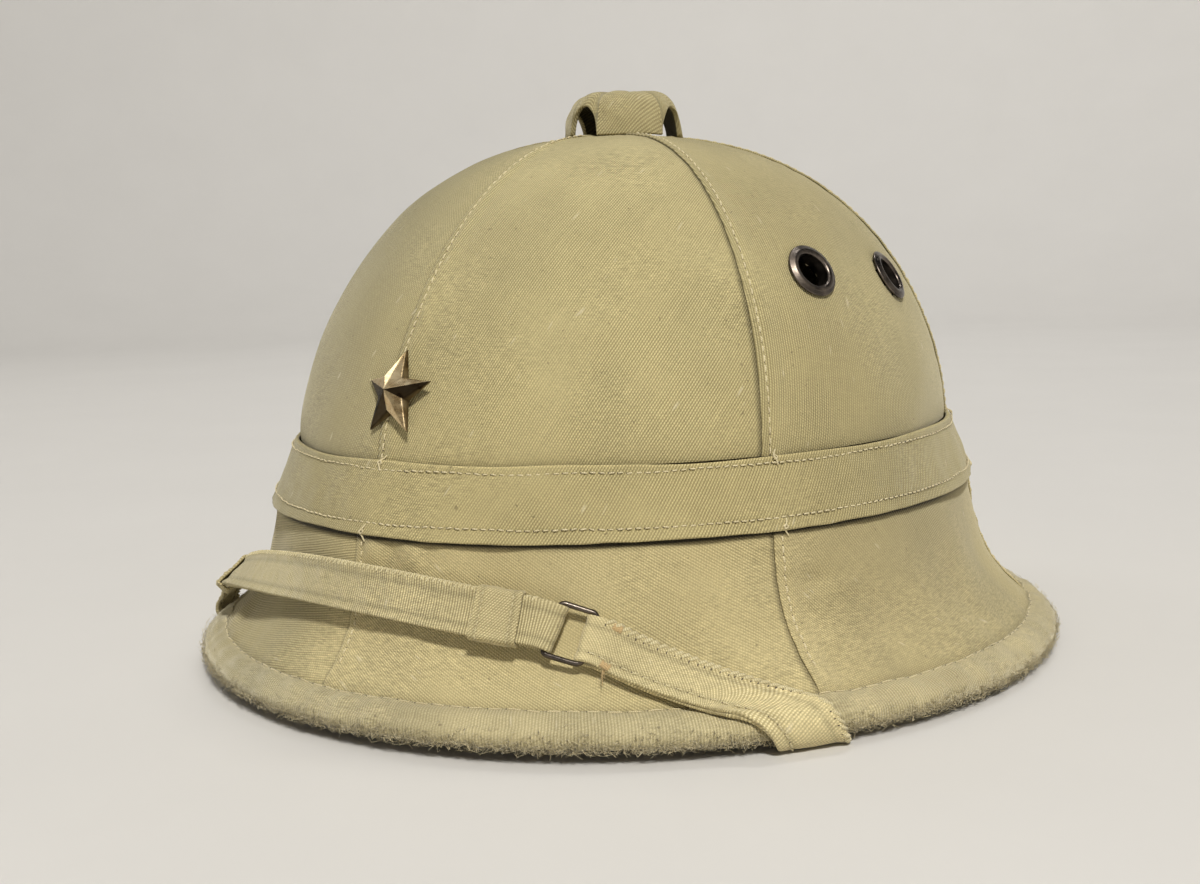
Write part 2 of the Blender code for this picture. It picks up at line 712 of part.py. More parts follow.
def strap_loop(at, first, second):
    """The cross loop of the strap at a station: each face as its way ahead, its stand-off and its floor."""
    half = STRAP_WIDTH / 2
    acrosses = [between(-half, half, i / STRAP_STRIPS) for i in range(STRAP_STRIPS + 1)]
    there = [strap_place(at, first[0], across, *first[1:]) for across in acrosses]
    back = [strap_place(at, second[0], across, *second[1:]) for across in reversed(acrosses)]
    return there + back


def strap_distances(rows, marks):
    """Ways along the strap at which it has a cross loop: closer together where it folds round the rim."""
    fold = [mark[1] for mark in marks if WRAP_DROP[0] < smooth(rows, "drop", mark[0]) < WRAP_DROP[1]]
    distances = [0.0, RING_WIRE]
    while distances[-1] < marks[-1][1]:
        in_fold = fold[0] <= distances[-1] + STRAP_STEP and distances[-1] <= fold[-1]
        distances.append(distances[-1] + (STRAP_FOLD_STEP if in_fold else STRAP_STEP))
    distances[-1] = marks[-1][1]
    return distances


def make_strap(name, rows, tail_end):
    """A strap whose outer layer follows the route and whose inner layer runs back from the ring's bar."""
    marks = route_lengths(rows)
    distances = strap_distances(rows, marks)
    stations = [station_at(rows, marks, distance) for distance in distances]
    half = STRAP_CLOTH / 2
    loops = []
    for at in reversed(stations):
        outside = (0.0, at["height"] + half, 0.0)
        inside = (0.0, at["height"] - half, STRAP_CLOTH)
        loops.append(strap_loop(at, outside, inside))
    first = stations[0]
    axis = first["height"] - fold_radius()
    for i in range(1, FOLD_STEPS):
        turn = math.pi * i / FOLD_STEPS
        far, near = fold_radius() + half, fold_radius() - half
        ahead = -math.sin(turn)
        up = math.cos(turn)
        loops.append(strap_loop(first, (ahead * far, axis + up * far), (ahead * near, axis + up * near)))
    for distance, at in zip(distances, stations):
        middle = at["height"] - layer_pitch(distance)
        next_to_brim = (0.0, middle - half, 2 * STRAP_CLOTH + GAP)
        next_to_strap = (0.0, middle + half, STRAP_CLOTH + GAP)
        loops.append(strap_loop(at, next_to_brim, next_to_strap))
        if tail_end is not None and at["azimuth"] < tail_end:
            break
    mesh = bmesh.new()
    add_rings(mesh, loops, wrap=False)
    finish_object(name, mesh, "strap_cloth")


def make_keeper(name, rows, azimuth):
    """A cloth loop round both layers of the strap."""
    marks = route_lengths(rows)
    middle = distance_to(rows, marks, azimuth)
    outlines = []
    for i in range(KEEPER_STEPS + 1):
        distance = middle + KEEPER_LENGTH * (i / KEEPER_STEPS - 0.5)
        at = station_at(rows, marks, distance)
        top = at["height"] + STRAP_CLOTH / 2 + KEEPER_GAP
        bottom = at["height"] - layer_pitch(distance) - STRAP_CLOTH / 2 - KEEPER_GAP
        side = STRAP_WIDTH / 2 + KEEPER_GAP
        near = keeper_outline(side, bottom, top, KEEPER_CORNER)
        far = keeper_outline(
            side + KEEPER_CLOTH, bottom - KEEPER_CLOTH, top + KEEPER_CLOTH, KEEPER_OUTER_CORNER
        )
        inner = [strap_place(at, 0.0, *corner) for corner in near]
        outer = [strap_place(at, 0.0, *corner) for corner in far]
        outlines.append((inner, outer))
    rings = []
    for k in range(len(outlines[0][0])):
        line_out = [outer[k] for _, outer in outlines]
        line_in = [inner[k] for inner, _ in reversed(outlines)]
        rings.append(line_out + line_in)
    mesh = bmesh.new()
    add_rings(mesh, rings, wrap=True)
    finish_object(name, mesh, "strap_cloth")


def keeper_outline(half, low, high, corner):
    """The loop's section with cut corners, as pairs of across and height."""
    return (
        (-half, high - corner),
        (corner - half, high),
        (0.0, high),
        (half - corner, high),
        (half, high - corner),
        (half, low + corner),
        (half - corner, low),
        (0.0, low),
        (corner - half, low),
        (-half, low + corner),
    )


def make_strap_ring():
    """The rectangular wire ring between the two straps."""
    _, _, full = skin_lengths(RING_AZIMUTH)
    slant = math.radians(RING_SLANT)
    run = Vector((math.cos(slant), math.sin(slant)))
    square = Vector((-run.y, run.x))
    at = {
        "azimuth": RING_AZIMUTH,
        "drop": RING_DROP * full,
        "scale": rim_scale(RING_AZIMUTH, RING_DROP * full, ring_height()),
        "run": run,
        "cross": square,
        "lean": 0.0,
    }
    rings = []
    for along, across, turn in ring_path():
        out = Vector((math.cos(math.radians(turn)), math.sin(math.radians(turn))))
        ring = []
        for k in range(RING_SIDES):
            roll = 2 * math.pi * k / RING_SIDES
            wide = out * (RING_WIRE / 2 * math.cos(roll))
            lift = ring_height() + RING_WIRE / 2 * math.sin(roll)
            ring.append(strap_place(at, along + wide.x, across + wide.y, lift))
        rings.append(ring)
    mesh = bmesh.new()
    add_rings(mesh, rings, wrap=True)
    finish_object("strap_ring", mesh, "gunmetal", 60.0)


def ring_path():
    """The wire's middle line, along and across the strap, with the way out: four corners and the bars."""
    half_run = RING_BAR_SPACING / 2
    half_cross = STRAP_WIDTH / 2 + GAP + RING_WIRE / 2
    path = []
    for quarter in range(4):
        side_run = 1 if quarter in (0, 3) else -1
        side_cross = 1 if quarter in (0, 1) else -1
        for i in range(RING_CORNER_STEPS + 1):
            turn = (quarter + i / RING_CORNER_STEPS) * 90
            along = side_run * (half_run - RING_CORNER) + RING_CORNER * math.cos(math.radians(turn))
            across = side_cross * (half_cross - RING_CORNER) + RING_CORNER * math.sin(math.radians(turn))
            path.append((along, across, turn))
        ahead = math.radians((quarter + 1) * 90)
        path.append((half_run * math.cos(ahead), half_cross * math.sin(ahead), (quarter + 1) * 90))
    return path


def make_helmet():
    """Builds every piece and parents them to one empty at the helmet's foot."""
    make_crown()
    make_brim()
    make_hatband()
    make_vent_cap()
    make_grommets()
    make_star_badge()
    long_rows = full_route(-1, LONG_ROUTE)
    short_rows = full_route(1, SHORT_ROUTE)
    make_strap("strap_long", long_rows, TAIL_END_AZIMUTH)
    make_strap("strap_short", short_rows, None)
    make_keeper("keeper_left", long_rows, KEEPER_LEFT_AZIMUTH)
    make_keeper("keeper_right", long_rows, KEEPER_RIGHT_AZIMUTH)
    make_strap_ring()
    root = bpy.data.objects.new("helmet", None)
    bpy.context.scene.collection.objects.link(root)
    for piece in bpy.data.objects:
        if piece is not root:
            piece.parent = root


clear_scene()
make_helmet()
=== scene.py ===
"""The look of the cloth-covered pith helmet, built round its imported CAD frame.

Azimuths are in degrees from the front (-Y) towards the wearer's left (+X); lengths are in metres.
"""

import math

import bpy
import numpy as np
from mathutils import Matrix, Vector


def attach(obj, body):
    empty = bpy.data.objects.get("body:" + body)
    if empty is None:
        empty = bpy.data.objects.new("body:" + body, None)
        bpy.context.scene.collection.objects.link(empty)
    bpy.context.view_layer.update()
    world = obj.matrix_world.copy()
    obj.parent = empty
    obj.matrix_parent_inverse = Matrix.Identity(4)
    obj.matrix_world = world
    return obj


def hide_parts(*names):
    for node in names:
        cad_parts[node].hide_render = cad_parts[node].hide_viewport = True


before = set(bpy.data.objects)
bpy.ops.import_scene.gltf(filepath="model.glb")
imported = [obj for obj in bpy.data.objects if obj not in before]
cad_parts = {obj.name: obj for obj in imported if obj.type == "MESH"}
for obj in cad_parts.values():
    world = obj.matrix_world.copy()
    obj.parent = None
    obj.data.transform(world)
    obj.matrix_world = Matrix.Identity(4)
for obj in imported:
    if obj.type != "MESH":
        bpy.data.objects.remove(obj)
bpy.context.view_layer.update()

# Body sizes, as in the CAD
CROWN_L, CROWN_W = 0.1190, 0.1061
BAND_TOP, BAND_BOTTOM = 0.0726, 0.0525
BRIM_L, BRIM_W = 0.1281, 0.1131
HEM_L, HEM_W, HEM_Z = 0.1445, 0.1355, 0.0105
RIM_L, RIM_W, RIM_R, RIM_LIFT = 0.1513, 0.1437, 0.0030, 0.0020
RISE, APEX_SHIFT, WALL, GAP = 0.0965, 0.0085, 0.0030, 0.0003
SHAPE = {"front": (1.23, 2.28), "back": (2.16, 2.70), "side": (1.83, 2.47)}
FLARE = 0.815
SEAMS = ((-180, -1), (-120, -1), (-60, -1), (0, 1), (60, 1), (120, 1), (180, -1))

# Camera of the photograph, solved from the seams and edges
CAMERA_AT = (0.2962, -0.3903, 0.1299)
CAMERA_YAW, CAMERA_PITCH, CAMERA_ROLL = -38.42, 7.671, -1.5295
CAMERA_LENS = 41.82

# Radii that turn azimuths into metres of cloth, and the brim's run from its top to its hem
BAND_ROUND, RIM_ROUND, BRIM_RUN = 0.118, 0.14, 0.047
# The hatband's cloth and the heights of its two rows of stitches
BAND_THICK, BAND_STITCHES = 0.0013, (BAND_TOP - 0.0022, BAND_BOTTOM + 0.0035)
# The eyelets' holes through the crown's cloth and inside, and where crown and brim meet behind the band
HOLE_OUTSIDE, HOLE_INSIDE, CROWN_FOOT, BRIM_HEAD = 0.0072, 0.0061, 0.0627, 0.0626
APEX = 0.99995


# ---------------------------------------------------------------- surfaces
def unit(v):
    return v / (np.linalg.norm(v, axis=-1, keepdims=True) + 1e-12)


def bell(x, wide, power=2):
    """A bump that is 1 at x = 0 and fades over the given width."""
    return np.exp(-(x / wide) ** power)


def circle(count):
    return np.arange(count) * 2 * np.pi / count


def reach(part, u):
    p, q = SHAPE[part]
    return np.maximum(0.0, 1 - np.clip(u, 0, 1) ** p) ** (1 / q)


def oval(az, half_l, half_w, z, shift=0.0):
    t = np.radians(az)
    x, y = half_w * np.sin(t), -half_l * np.cos(t) - shift
    return np.stack(np.broadcast_arrays(x, y, z), -1)


def crown_at(az, u, inset=0.0):
    ends = np.where(np.cos(np.radians(az)) > 0, reach("front", u), reach("back", u))
    return oval(az, (CROWN_L - inset) * ends, (CROWN_W - inset) * reach("side", u),
                BAND_TOP + (RISE - inset) * u, APEX_SHIFT * u)


def band_at(az, z, inset=0.0):
    s = (BAND_TOP - z) / (BAND_TOP - BAND_BOTTOM)
    return oval(az, CROWN_L + (BRIM_L - CROWN_L) * s - inset, CROWN_W + (BRIM_W - CROWN_W) * s - inset, z)


def lift_at(az):
    return RIM_LIFT * (1 + np.cos(np.radians(az)))


def brim_at(az, w, inset=0.0):
    g = (1 - FLARE) * w + FLARE * w ** 3
    hem = HEM_Z + lift_at(az) - RIM_LIFT
    return oval(az, BRIM_L + (HEM_L - BRIM_L) * g - inset, BRIM_W + (HEM_W - BRIM_W) * g - inset,
                BAND_BOTTOM + (hem - BAND_BOTTOM) * w)


def rim_at(az, angle, swell=0.0):
    t = np.radians(angle)
    out = RIM_R * (np.cos(t) - 1) + swell * np.cos(t)
    return oval(az, RIM_L + out, RIM_W + out, lift_at(az) + RIM_R * (1 + np.sin(t)) + swell * np.sin(t))


def normal_of(surface, az, v, step=1e-3):
    a = surface(az + 0.2, v) - surface(az - 0.2, v)
    b = surface(az, v + step) - surface(az, v - step)
    n = unit(np.cross(a, b))
    mid = surface(az, v)
    out = mid * np.array([1, 1, 0.3]) + np.array([0, 0, 0.012])
    return n * np.sign((n * out).sum(-1, keepdims=True))


def waves(x, y, size, seed):
    """Smooth noise of about -1 to 1 with features of the given size."""
    r = np.random.default_rng(seed)
    count, total = 14, 0.0
    for _ in range(count):
        t, k, ph = r.uniform(0, 2 * np.pi), r.uniform(0.5, 1.6) * 2 * np.pi / size, r.uniform(0, 2 * np.pi)
        total = total + np.sin(x * k * np.cos(t) + y * k * np.sin(t) + ph)
    return total / math.sqrt(count / 2)


# ---------------------------------------------------------------- meshes
def add_attributes(mesh, uv, tone):
    index = np.zeros(len(mesh.loops), np.int32)
    mesh.loops.foreach_get("vertex_index", index)
    if uv is not None:
        layer = mesh.uv_layers.new(name="weave")
        layer.data.foreach_set("uv", np.asarray(uv, np.float32).reshape(-1, 2)[index].ravel())
    if tone is not None:
        at = mesh.attributes.new("tone", "FLOAT", "POINT")
        at.data.foreach_set("value", np.asarray(tone, np.float32).ravel())


def make_object(name, verts, faces, uv, tone, look):
    mesh = bpy.data.meshes.new(name)
    verts = np.asarray(verts, np.float32).reshape(-1, 3)
    faces = np.asarray(faces, np.int32)
    mesh.vertices.add(len(verts))
    mesh.vertices.foreach_set("co", verts.ravel())
    mesh.loops.add(faces.size)
    mesh.loops.foreach_set("vertex_index", faces.ravel())
    mesh.polygons.add(len(faces))
    mesh.polygons.foreach_set("loop_start", np.arange(0, faces.size, faces.shape[1], dtype=np.int32))
    mesh.update(calc_edges=True)
    mesh.validate()
    add_attributes(mesh, uv, tone)
    mesh.shade_smooth()
    mesh.materials.append(look)
    piece = bpy.data.objects.new(name, mesh)
    bpy.context.scene.collection.objects.link(piece)
    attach(piece, "root")
    return piece


def grid_faces(rows, cols, wrap_rows=False, wrap_cols=False, start=0):
    ids = np.arange(rows * cols).reshape(rows, cols) + start
    if wrap_rows:
        ids = np.vstack([ids, ids[:1]])
    if wrap_cols:
        ids = np.hstack([ids, ids[:, :1]])
    a, b, c, d = ids[:-1, :-1], ids[1:, :-1], ids[1:, 1:], ids[:-1, 1:]
    return np.stack([a, b, c, d], -1).reshape(-1, 4)


class Parts:
    """Collects grids that become one mesh."""

    def __init__(self):
        self.verts, self.faces, self.uv, self.tone, self.count = [], [], [], [], 0

    def grid(self, points, uv=None, tone=None, flip=False, wrap_rows=False, wrap_cols=False, keep=None):
        rows, cols = points.shape[:2]
        faces = grid_faces(rows, cols, wrap_rows, wrap_cols, self.count)
        if keep is not None:
            flat = points.reshape(-1, 3)
            faces = faces[keep(flat[faces - self.count].mean(1))]
        self.faces.append(faces[:, ::-1] if flip else faces)
        self.verts.append(points.reshape(-1, 3))
        self.uv.append(np.zeros((rows * cols, 2)) if uv is None else uv.reshape(-1, 2))
        self.tone.append(np.broadcast_to(1.0 if tone is None else tone, (rows, cols)).ravel())
        self.count += rows * cols

    def build(self, name, look, slot):
        return make_object(name, np.vstack(self.verts), np.vstack(self.faces), np.vstack(self.uv),
                           np.concatenate(self.tone), look)


def turned(uv, degrees):
    c, s = math.cos(math.radians(degrees)), math.sin(math.radians(degrees))
    return np.stack([uv[..., 0] * c + uv[..., 1] * s, -uv[..., 0] * s + uv[..., 1] * c], -1)


def lengths(points, axis=0):
    d = np.linalg.norm(np.diff(points, axis=axis), axis=-1)
    pad = [(0, 0)] * d.ndim
    pad[axis] = (1, 0)
    return np.pad(np.cumsum(d, axis=axis), pad)


# ---------------------------------------------------------------- materials
FLOAT_PITCH, TWIST_PITCH = 0.8e-3, 0.55e-3


class Nodes:
    """A material, with short ways to add shader nodes to it."""

    def __init__(self, name):
        self.mat = bpy.data.materials.new(name)
        self.mat.use_nodes = True
        self.tree = self.mat.node_tree

    def add(self, kind, **inputs):
        """A node. Keys in p_ are properties, i0, i1 and so on inputs by number, others inputs by name."""
        node = self.tree.nodes.new(kind)
        for key in [key for key in inputs if key.startswith("p_")]:
            setattr(node, key[2:], inputs.pop(key))
        for key, value in inputs.items():
            self.put(node, int(key[1:]) if key[1:].isdigit() else key.replace("_", " "), value)
        return node

    def put(self, node, key, value):
        if isinstance(value, bpy.types.NodeSocket):
            self.tree.links.new(value, node.inputs[key])
        else:
            node.inputs[key].default_value = value

    def shade(self, **inputs):
        """Sets the shader's inputs and gives the finished material."""
        for key, value in inputs.items():
            self.put(self.tree.nodes["Principled BSDF"], key.replace("_", " "), value)
        return self.mat

    def place(self):
        return self.add("ShaderNodeTexCoord").outputs["Object"]

    def tone(self):
        return self.add("ShaderNodeAttribute", p_attribute_name="tone").outputs["Fac"]

    def weave(self):
        """The cloth's own coordinates, whole and as x and y."""
        uv = self.add("ShaderNodeUVMap", p_uv_map="weave").outputs[0]
        parts = self.add("ShaderNodeSeparateXYZ", Vector=uv)
        return uv, parts.outputs[0], parts.outputs[1]

    def math(self, op, a, b=0.0, c=0.0):
        return self.add("ShaderNodeMath", p_operation=op, i0=a, i1=b, i2=c).outputs[0]

    def times(self, a, b, plus=0.0):
        return self.math("MULTIPLY_ADD", a, b, plus)

    def plus(self, a, b):
        return self.math("ADD", a, b)

    def ripple(self, phase):
        """The sine of a phase, brought to 0 to 1."""
        return self.times(self.math("SINE", phase), 0.5, 0.5)

    def noise(self, vector, scale, detail=2.0, rough=0.5):
        node = self.add("ShaderNodeTexNoise", Vector=vector, Scale=scale, Detail=detail, Roughness=rough)
        return node.outputs["Fac"]

    def streaks(self, vector, x, y, z, detail):
        """Noise of a different scale along each axis."""
        node = self.add("ShaderNodeVectorMath", p_operation="MULTIPLY", i0=vector, i1=(x, y, z))
        return self.noise(node.outputs[0], 1.0, detail)

    def span(self, value, a, b, to_a=0.0, to_b=1.0):
        node = self.add("ShaderNodeMapRange", Value=value, From_Min=a, From_Max=b, To_Min=to_a, To_Max=to_b)
        return node.outputs[0]

    def mix(self, share, a, b, blend="MIX"):
        node = self.add("ShaderNodeMix", p_data_type="RGBA", p_blend_type=blend, i0=share, i6=a, i7=b)
        return node.outputs[2]

    def bump(self, strength, distance, height):
        return self.add("ShaderNodeBump", Strength=strength, Distance=distance, Height=height).outputs[0]


def cloth(name, light, dark, pitch, depth, ridge_share=0.6, fuzz=0.35, fleck=0.5):
    """Woven cotton: ridges across the weave's X with the yarn's short floats along them."""
    n = Nodes(name)
    uv, x, y = n.weave()
    place = n.place()
    # the ridges and floats wander, and the weave shows more in some patches than in others
    jitter = n.times(n.streaks(uv, 900.0, 260.0, 1.0, 1.0), 0.55)
    wander = n.times(n.noise(uv, 90.0), 1.6, jitter)
    phase = n.times(x, 2 * math.pi / pitch, n.times(wander, 2.2))
    run = n.times(y, 2 * math.pi / FLOAT_PITCH, n.times(phase, 0.5))
    floats = n.ripple(n.times(jitter, 5.0, run))
    weave = n.times(n.ripple(phase), n.times(floats, 1 - ridge_share, ridge_share))
    strength = n.span(n.noise(place, 30.0), 0.36, 0.62, 0.45, 1.10)
    seen = n.times(n.plus(weave, -0.4), strength, 0.4)
    # light and dark: warp and weft yarns, patches, specks, the mesh's tone attribute with its painted shade
    # and highlights, and broken dashes
    grain = n.noise(uv, 2600.0, 3.0, 0.65)
    level = n.tone()
    for share in (n.span(n.streaks(uv, 1700.0, 45.0, 1.0, 2.0), 0.25, 0.75, 0.94, 1.06),
                  n.span(n.streaks(uv, 45.0, 1700.0, 1.0, 2.0), 0.25, 0.75, 0.96, 1.04),
                  n.span(n.noise(place, 22.0, 4.0, 0.6), 0.3, 0.7, 0.90, 1.08),
                  n.span(grain, 0.25, 0.75, 0.80, 1.20)):
        level = n.times(level, share)
    dashes = n.span(n.streaks(place, 420.0, 420.0, 2300.0, 2.0), 0.30, 0.70, -0.5, 0.5)
    dashed = n.span(n.noise(place, 26.0), 0.44, 0.60, 0.06, 0.42)
    level = n.times(level, n.times(dashes, dashed, 1.0))
    grey = n.add("ShaderNodeCombineColor", Red=level, Green=level, Blue=level).outputs[0]
    colour = n.mix(1.0, n.mix(n.span(seen, 0.06, 0.86), (*dark, 1), (*light, 1)), grey, "MULTIPLY")
    # warmer soiling, dark flecks and pale slubs
    warm = n.times(n.span(n.noise(place, 9.0, 3.0), 0.35, 0.7), 0.22)
    colour = n.mix(warm, colour, n.mix(1.0, colour, (1.10, 0.99, 0.84, 1), "MULTIPLY"))
    spots = n.span(n.noise(place, 620.0, 1.0), 0.735, 0.80)
    colour = n.mix(n.times(spots, fleck), colour, (0.10, 0.075, 0.04, 1))
    slub = n.span(n.streaks(uv, 420.0, 110.0, 1.0, 1.0), 0.73, 0.80)
    colour = n.mix(n.times(slub, 0.35), colour, (0.78, 0.70, 0.50, 1))
    height = n.times(slub, 0.5, n.times(grain, 0.45, seen))
    return n.shade(Base_Color=colour, Normal=n.bump(0.85, depth, height),
                   Roughness=n.span(grain, 0.2, 0.8, 0.82, 0.97), Sheen_Weight=fuzz, Sheen_Roughness=0.45,
                   Sheen_Tint=(0.95, 0.90, 0.74, 1), Specular_IOR_Level=0.22)


def thread(name, light, dark):
    """Twisted sewing thread."""
    n = Nodes(name)
    _, x, y = n.weave()
    ply = n.ripple(n.times(x, 2 * math.pi / TWIST_PITCH, n.times(y, 2 * math.pi)))
    worn = n.times(n.span(n.noise(n.place(), 130.0, 3.0), 0.4, 0.7), 0.55)
    colour = n.mix(worn, n.mix(ply, (*dark, 1), (*light, 1)), (*dark, 1))
    return n.shade(Base_Color=colour, Normal=n.bump(0.5, 0.00003, ply), Roughness=0.75, Sheen_Weight=0.3)


def metal(name, base, worn, rough, wear_scale, patina, patina_share):
    """Polished metal with fine scratches, finger marks and dark patina in its hollows."""
    n = Nodes(name)
    place = n.place()
    cloud = n.noise(place, wear_scale, 5.0, 0.62)
    marks = n.streaks(place, 240.0, 240.0, 2400.0, 3.0)
    # darker where the tone is low: patina in hollows, and on the star also painted shade per facet
    patina_and_shade = n.times(n.math("SUBTRACT", 1.0, n.tone()), patina_share)
    colour = n.mix(n.span(cloud, 0.40, 0.66), (*base, 1), (*worn, 1))
    colour = n.mix(n.times(n.span(cloud, 0.30, 0.42, 1.0, 0.0), 0.25, patina_and_shade), colour, (*patina, 1))
    shine = n.plus(n.span(cloud, 0.3, 0.7, rough - 0.07, rough + 0.12), n.span(marks, 0.35, 0.7, 0.0, 0.12))
    return n.shade(Base_Color=colour, Metallic=1.0, Roughness=n.times(patina_and_shade, 0.3, shine),
                   Normal=n.bump(0.25, 0.0001, n.plus(marks, cloud)))


CROWN_CLOTH = cloth("crown_twill", (0.64, 0.56, 0.305), (0.295, 0.25, 0.117), 0.80e-3, 0.00020, 0.42)
BRIM_CLOTH = cloth("brim_twill", (0.69, 0.60, 0.335), (0.39, 0.33, 0.168), 0.74e-3, 0.00020, 0.38)
BAND_CLOTH = cloth("band_twill", (0.62, 0.54, 0.285), (0.28, 0.235, 0.11), 0.82e-3, 0.00021, 0.42)
HEM_CLOTH = cloth("hem_felted_twill", (0.58, 0.515, 0.315), (0.36, 0.31, 0.17), 0.85e-3, 0.00026, 0.5,
                  fuzz=0.6)
STRAP_CLOTH = cloth("strap_ribbed", (0.71, 0.63, 0.37), (0.30, 0.25, 0.125), 0.78e-3, 0.00026, 0.6,
                    fleck=0.35)
SHORT_CLOTH = cloth("strap_twill", (0.84, 0.745, 0.44), (0.44, 0.37, 0.19), 0.66e-3, 0.00020, 0.35,
                    fleck=0.35)
CAP_CLOTH = cloth("cap_twill", (0.52, 0.455, 0.25), (0.28, 0.235, 0.115), 0.95e-3, 0.00020, 0.5)
# A darker copy of the khaki cloth: painted shade for the crown's inside and the brim's underside
SHADED_INNER_CLOTH = cloth("inner_cloth_painted_shade", (0.46, 0.39, 0.235), (0.33, 0.275, 0.16), 1.0e-3, 0.00015, 0.5)
THREAD = thread("cream_thread", (0.83, 0.74, 0.49), (0.54, 0.455, 0.25))
STRAP_THREAD = thread("khaki_thread", (0.78, 0.70, 0.43), (0.46, 0.385, 0.20))
TACK_THREAD = thread("ochre_thread", (0.66, 0.49, 0.24), (0.42, 0.28, 0.12))
# Near-black thread for the needle holes: painted shade inside the holes
PIT = thread("needle_hole_shade", (0.13, 0.10, 0.05), (0.07, 0.05, 0.025))
GUNMETAL = metal("gunmetal", (0.085, 0.072, 0.062), (0.20, 0.165, 0.135), 0.26, 160.0,
                 (0.015, 0.012, 0.010), 0.7)
BRONZE = metal("copper_bronze", (0.64, 0.46, 0.23), (0.90, 0.74, 0.46), 0.17, 210.0,
               (0.014, 0.008, 0.004), 0.97)


# ---------------------------------------------------------------- panels with lapped seams
FOLD = ((0.0004, -0.0002), (-0.00020, 0.00000), (-0.00034, 0.00016), (-0.00034, 0.00038), (-0.00020, 0.00056),
        (0.00008, 0.00066), (0.00060, 0.00070), (0.00140, 0.00068), (0.00205, 0.00058), (0.00245, 0.00050),
        (0.00285, 0.00058), (0.00360, 0.00066), (0.00460, 0.00062), (0.00580, 0.00044), (0.00720, 0.00022),
        (0.00880, 0.00006), (0.01020, 0.0))
UNDER = ((0.0016, -0.00025), (0.0002, -0.00022), (-0.0008, -0.00016), (-0.0020, -0.00004), (-0.0040, 0.0),
         (-0.0070, 0.0), (-0.0100, 0.0))
PLAIN_COLUMNS = 34


def seam_columns(first, second):
    """Columns of one panel between two seams: azimuth, shift in metres, height of the lap."""
    (a, side_a), (b, side_b) = first, second
    start = FOLD if side_a > 0 else UNDER
    rows = [(a, (s if side_a > 0 else -s), h) for s, h in start]
    middle = [(a + 6.4 + (b - a - 12.8) * (i / (PLAIN_COLUMNS - 1)), 0.0, 0.0) for i in range(PLAIN_COLUMNS)]
    end = FOLD if side_b < 0 else UNDER
    rows_b = [(b, (-s if side_b < 0 else s), h) for s, h in end]
    return np.array(rows + middle + rows_b[::-1])


def is_crease(columns):
    """The columns at the foot of a folded edge, where shade is painted in."""
    return (columns[:, 1] != 0) & (np.abs(columns[:, 1]) < 0.0009) & (columns[:, 2] < 0.0003)


def panel_azimuths(columns, surface, v):
    """Azimuth of each column at each row, so that a lap keeps its width in metres."""
    az, shift = columns[:, 0], columns[:, 1]
    flat = surface(az[None, :], v[:, None])
    radius = np.maximum(np.hypot(flat[..., 0], flat[..., 1]), 1e-5)
    limit = 5.6 * np.minimum(1.0, np.abs(shift) / 0.0100)
    return az[None, :] + np.clip(np.degrees(shift[None, :] / radius), -limit, limit)


def seam_distance(az, radius):
    """Metres from the nearest seam line, on either side."""
    d = np.min([np.abs((az - s + 180) % 360 - 180) for s, _ in SEAMS], axis=0)
    return np.radians(d) * radius


CROWN_TURN = {-180: 38, -120: 30, -60: -14, 0: -30, 60: -10, 120: 50}
BRIM_TURN = {-180: 5, -120: 84, -60: 80, 0: -57, 60: -35, 120: 60}


def painted_side_shade(az):
    """Painted shade: the cloth is darker at the wearer's right front, and a little at the wearer's left, where
    less light falls.
    """
    return 1 - 0.34 * bell(az + 46, 38, 4) - 0.12 * bell(az - 92, 26, 4)


def near_holes(points, radius):
    far = np.ones(len(points), bool)
    for point, normal, _ in SEATS:
        d = points - point
        along = d @ normal
        far &= (np.linalg.norm(d - along[:, None] * normal, axis=1) > radius) | (np.abs(along) > 0.02)
    return far


def frame_on_crown(azimuth, u):
    point = crown_at(azimuth, u)
    up = unit(crown_at(azimuth, u + 0.002) - crown_at(azimuth, u - 0.002))
    along = crown_at(azimuth + 1, u) - crown_at(azimuth - 1, u)
    normal = np.cross(along, up)
    return point, unit(normal), up


SEATS = [frame_on_crown(sign * a, u) for sign in (1, -1) for a, u in ((76.0, 0.524), (102.0, 0.498))]


def panels(surface, values, turns, low=-1.0, high=2.0):
    """Each panel's grid: lap heights, creases, azimuths, values, points, normals, radii, ways and uv."""
    for first, second in zip(SEAMS, SEAMS[1:]):
        columns = seam_columns(first, second)
        az = panel_azimuths(columns, surface, values)
        v = np.broadcast_to(values[:, None], az.shape)
        base = surface(az, v)
        radius = np.hypot(base[..., 0], base[..., 1])
        way = lengths(base)
        across = np.radians(az - (first[0] + second[0]) / 2) * radius
        uv = turned(np.stack([across, way], -1), turns[first[0]])
        # painted shade at the foot of each folded edge
        fold_shade = np.where(is_crease(columns), 0.62, 1.0)
        normal = normal_of(surface, az, np.clip(v, low, high))
        yield columns[:, 2], fold_shade, az, v, base, normal, radius, way, uv


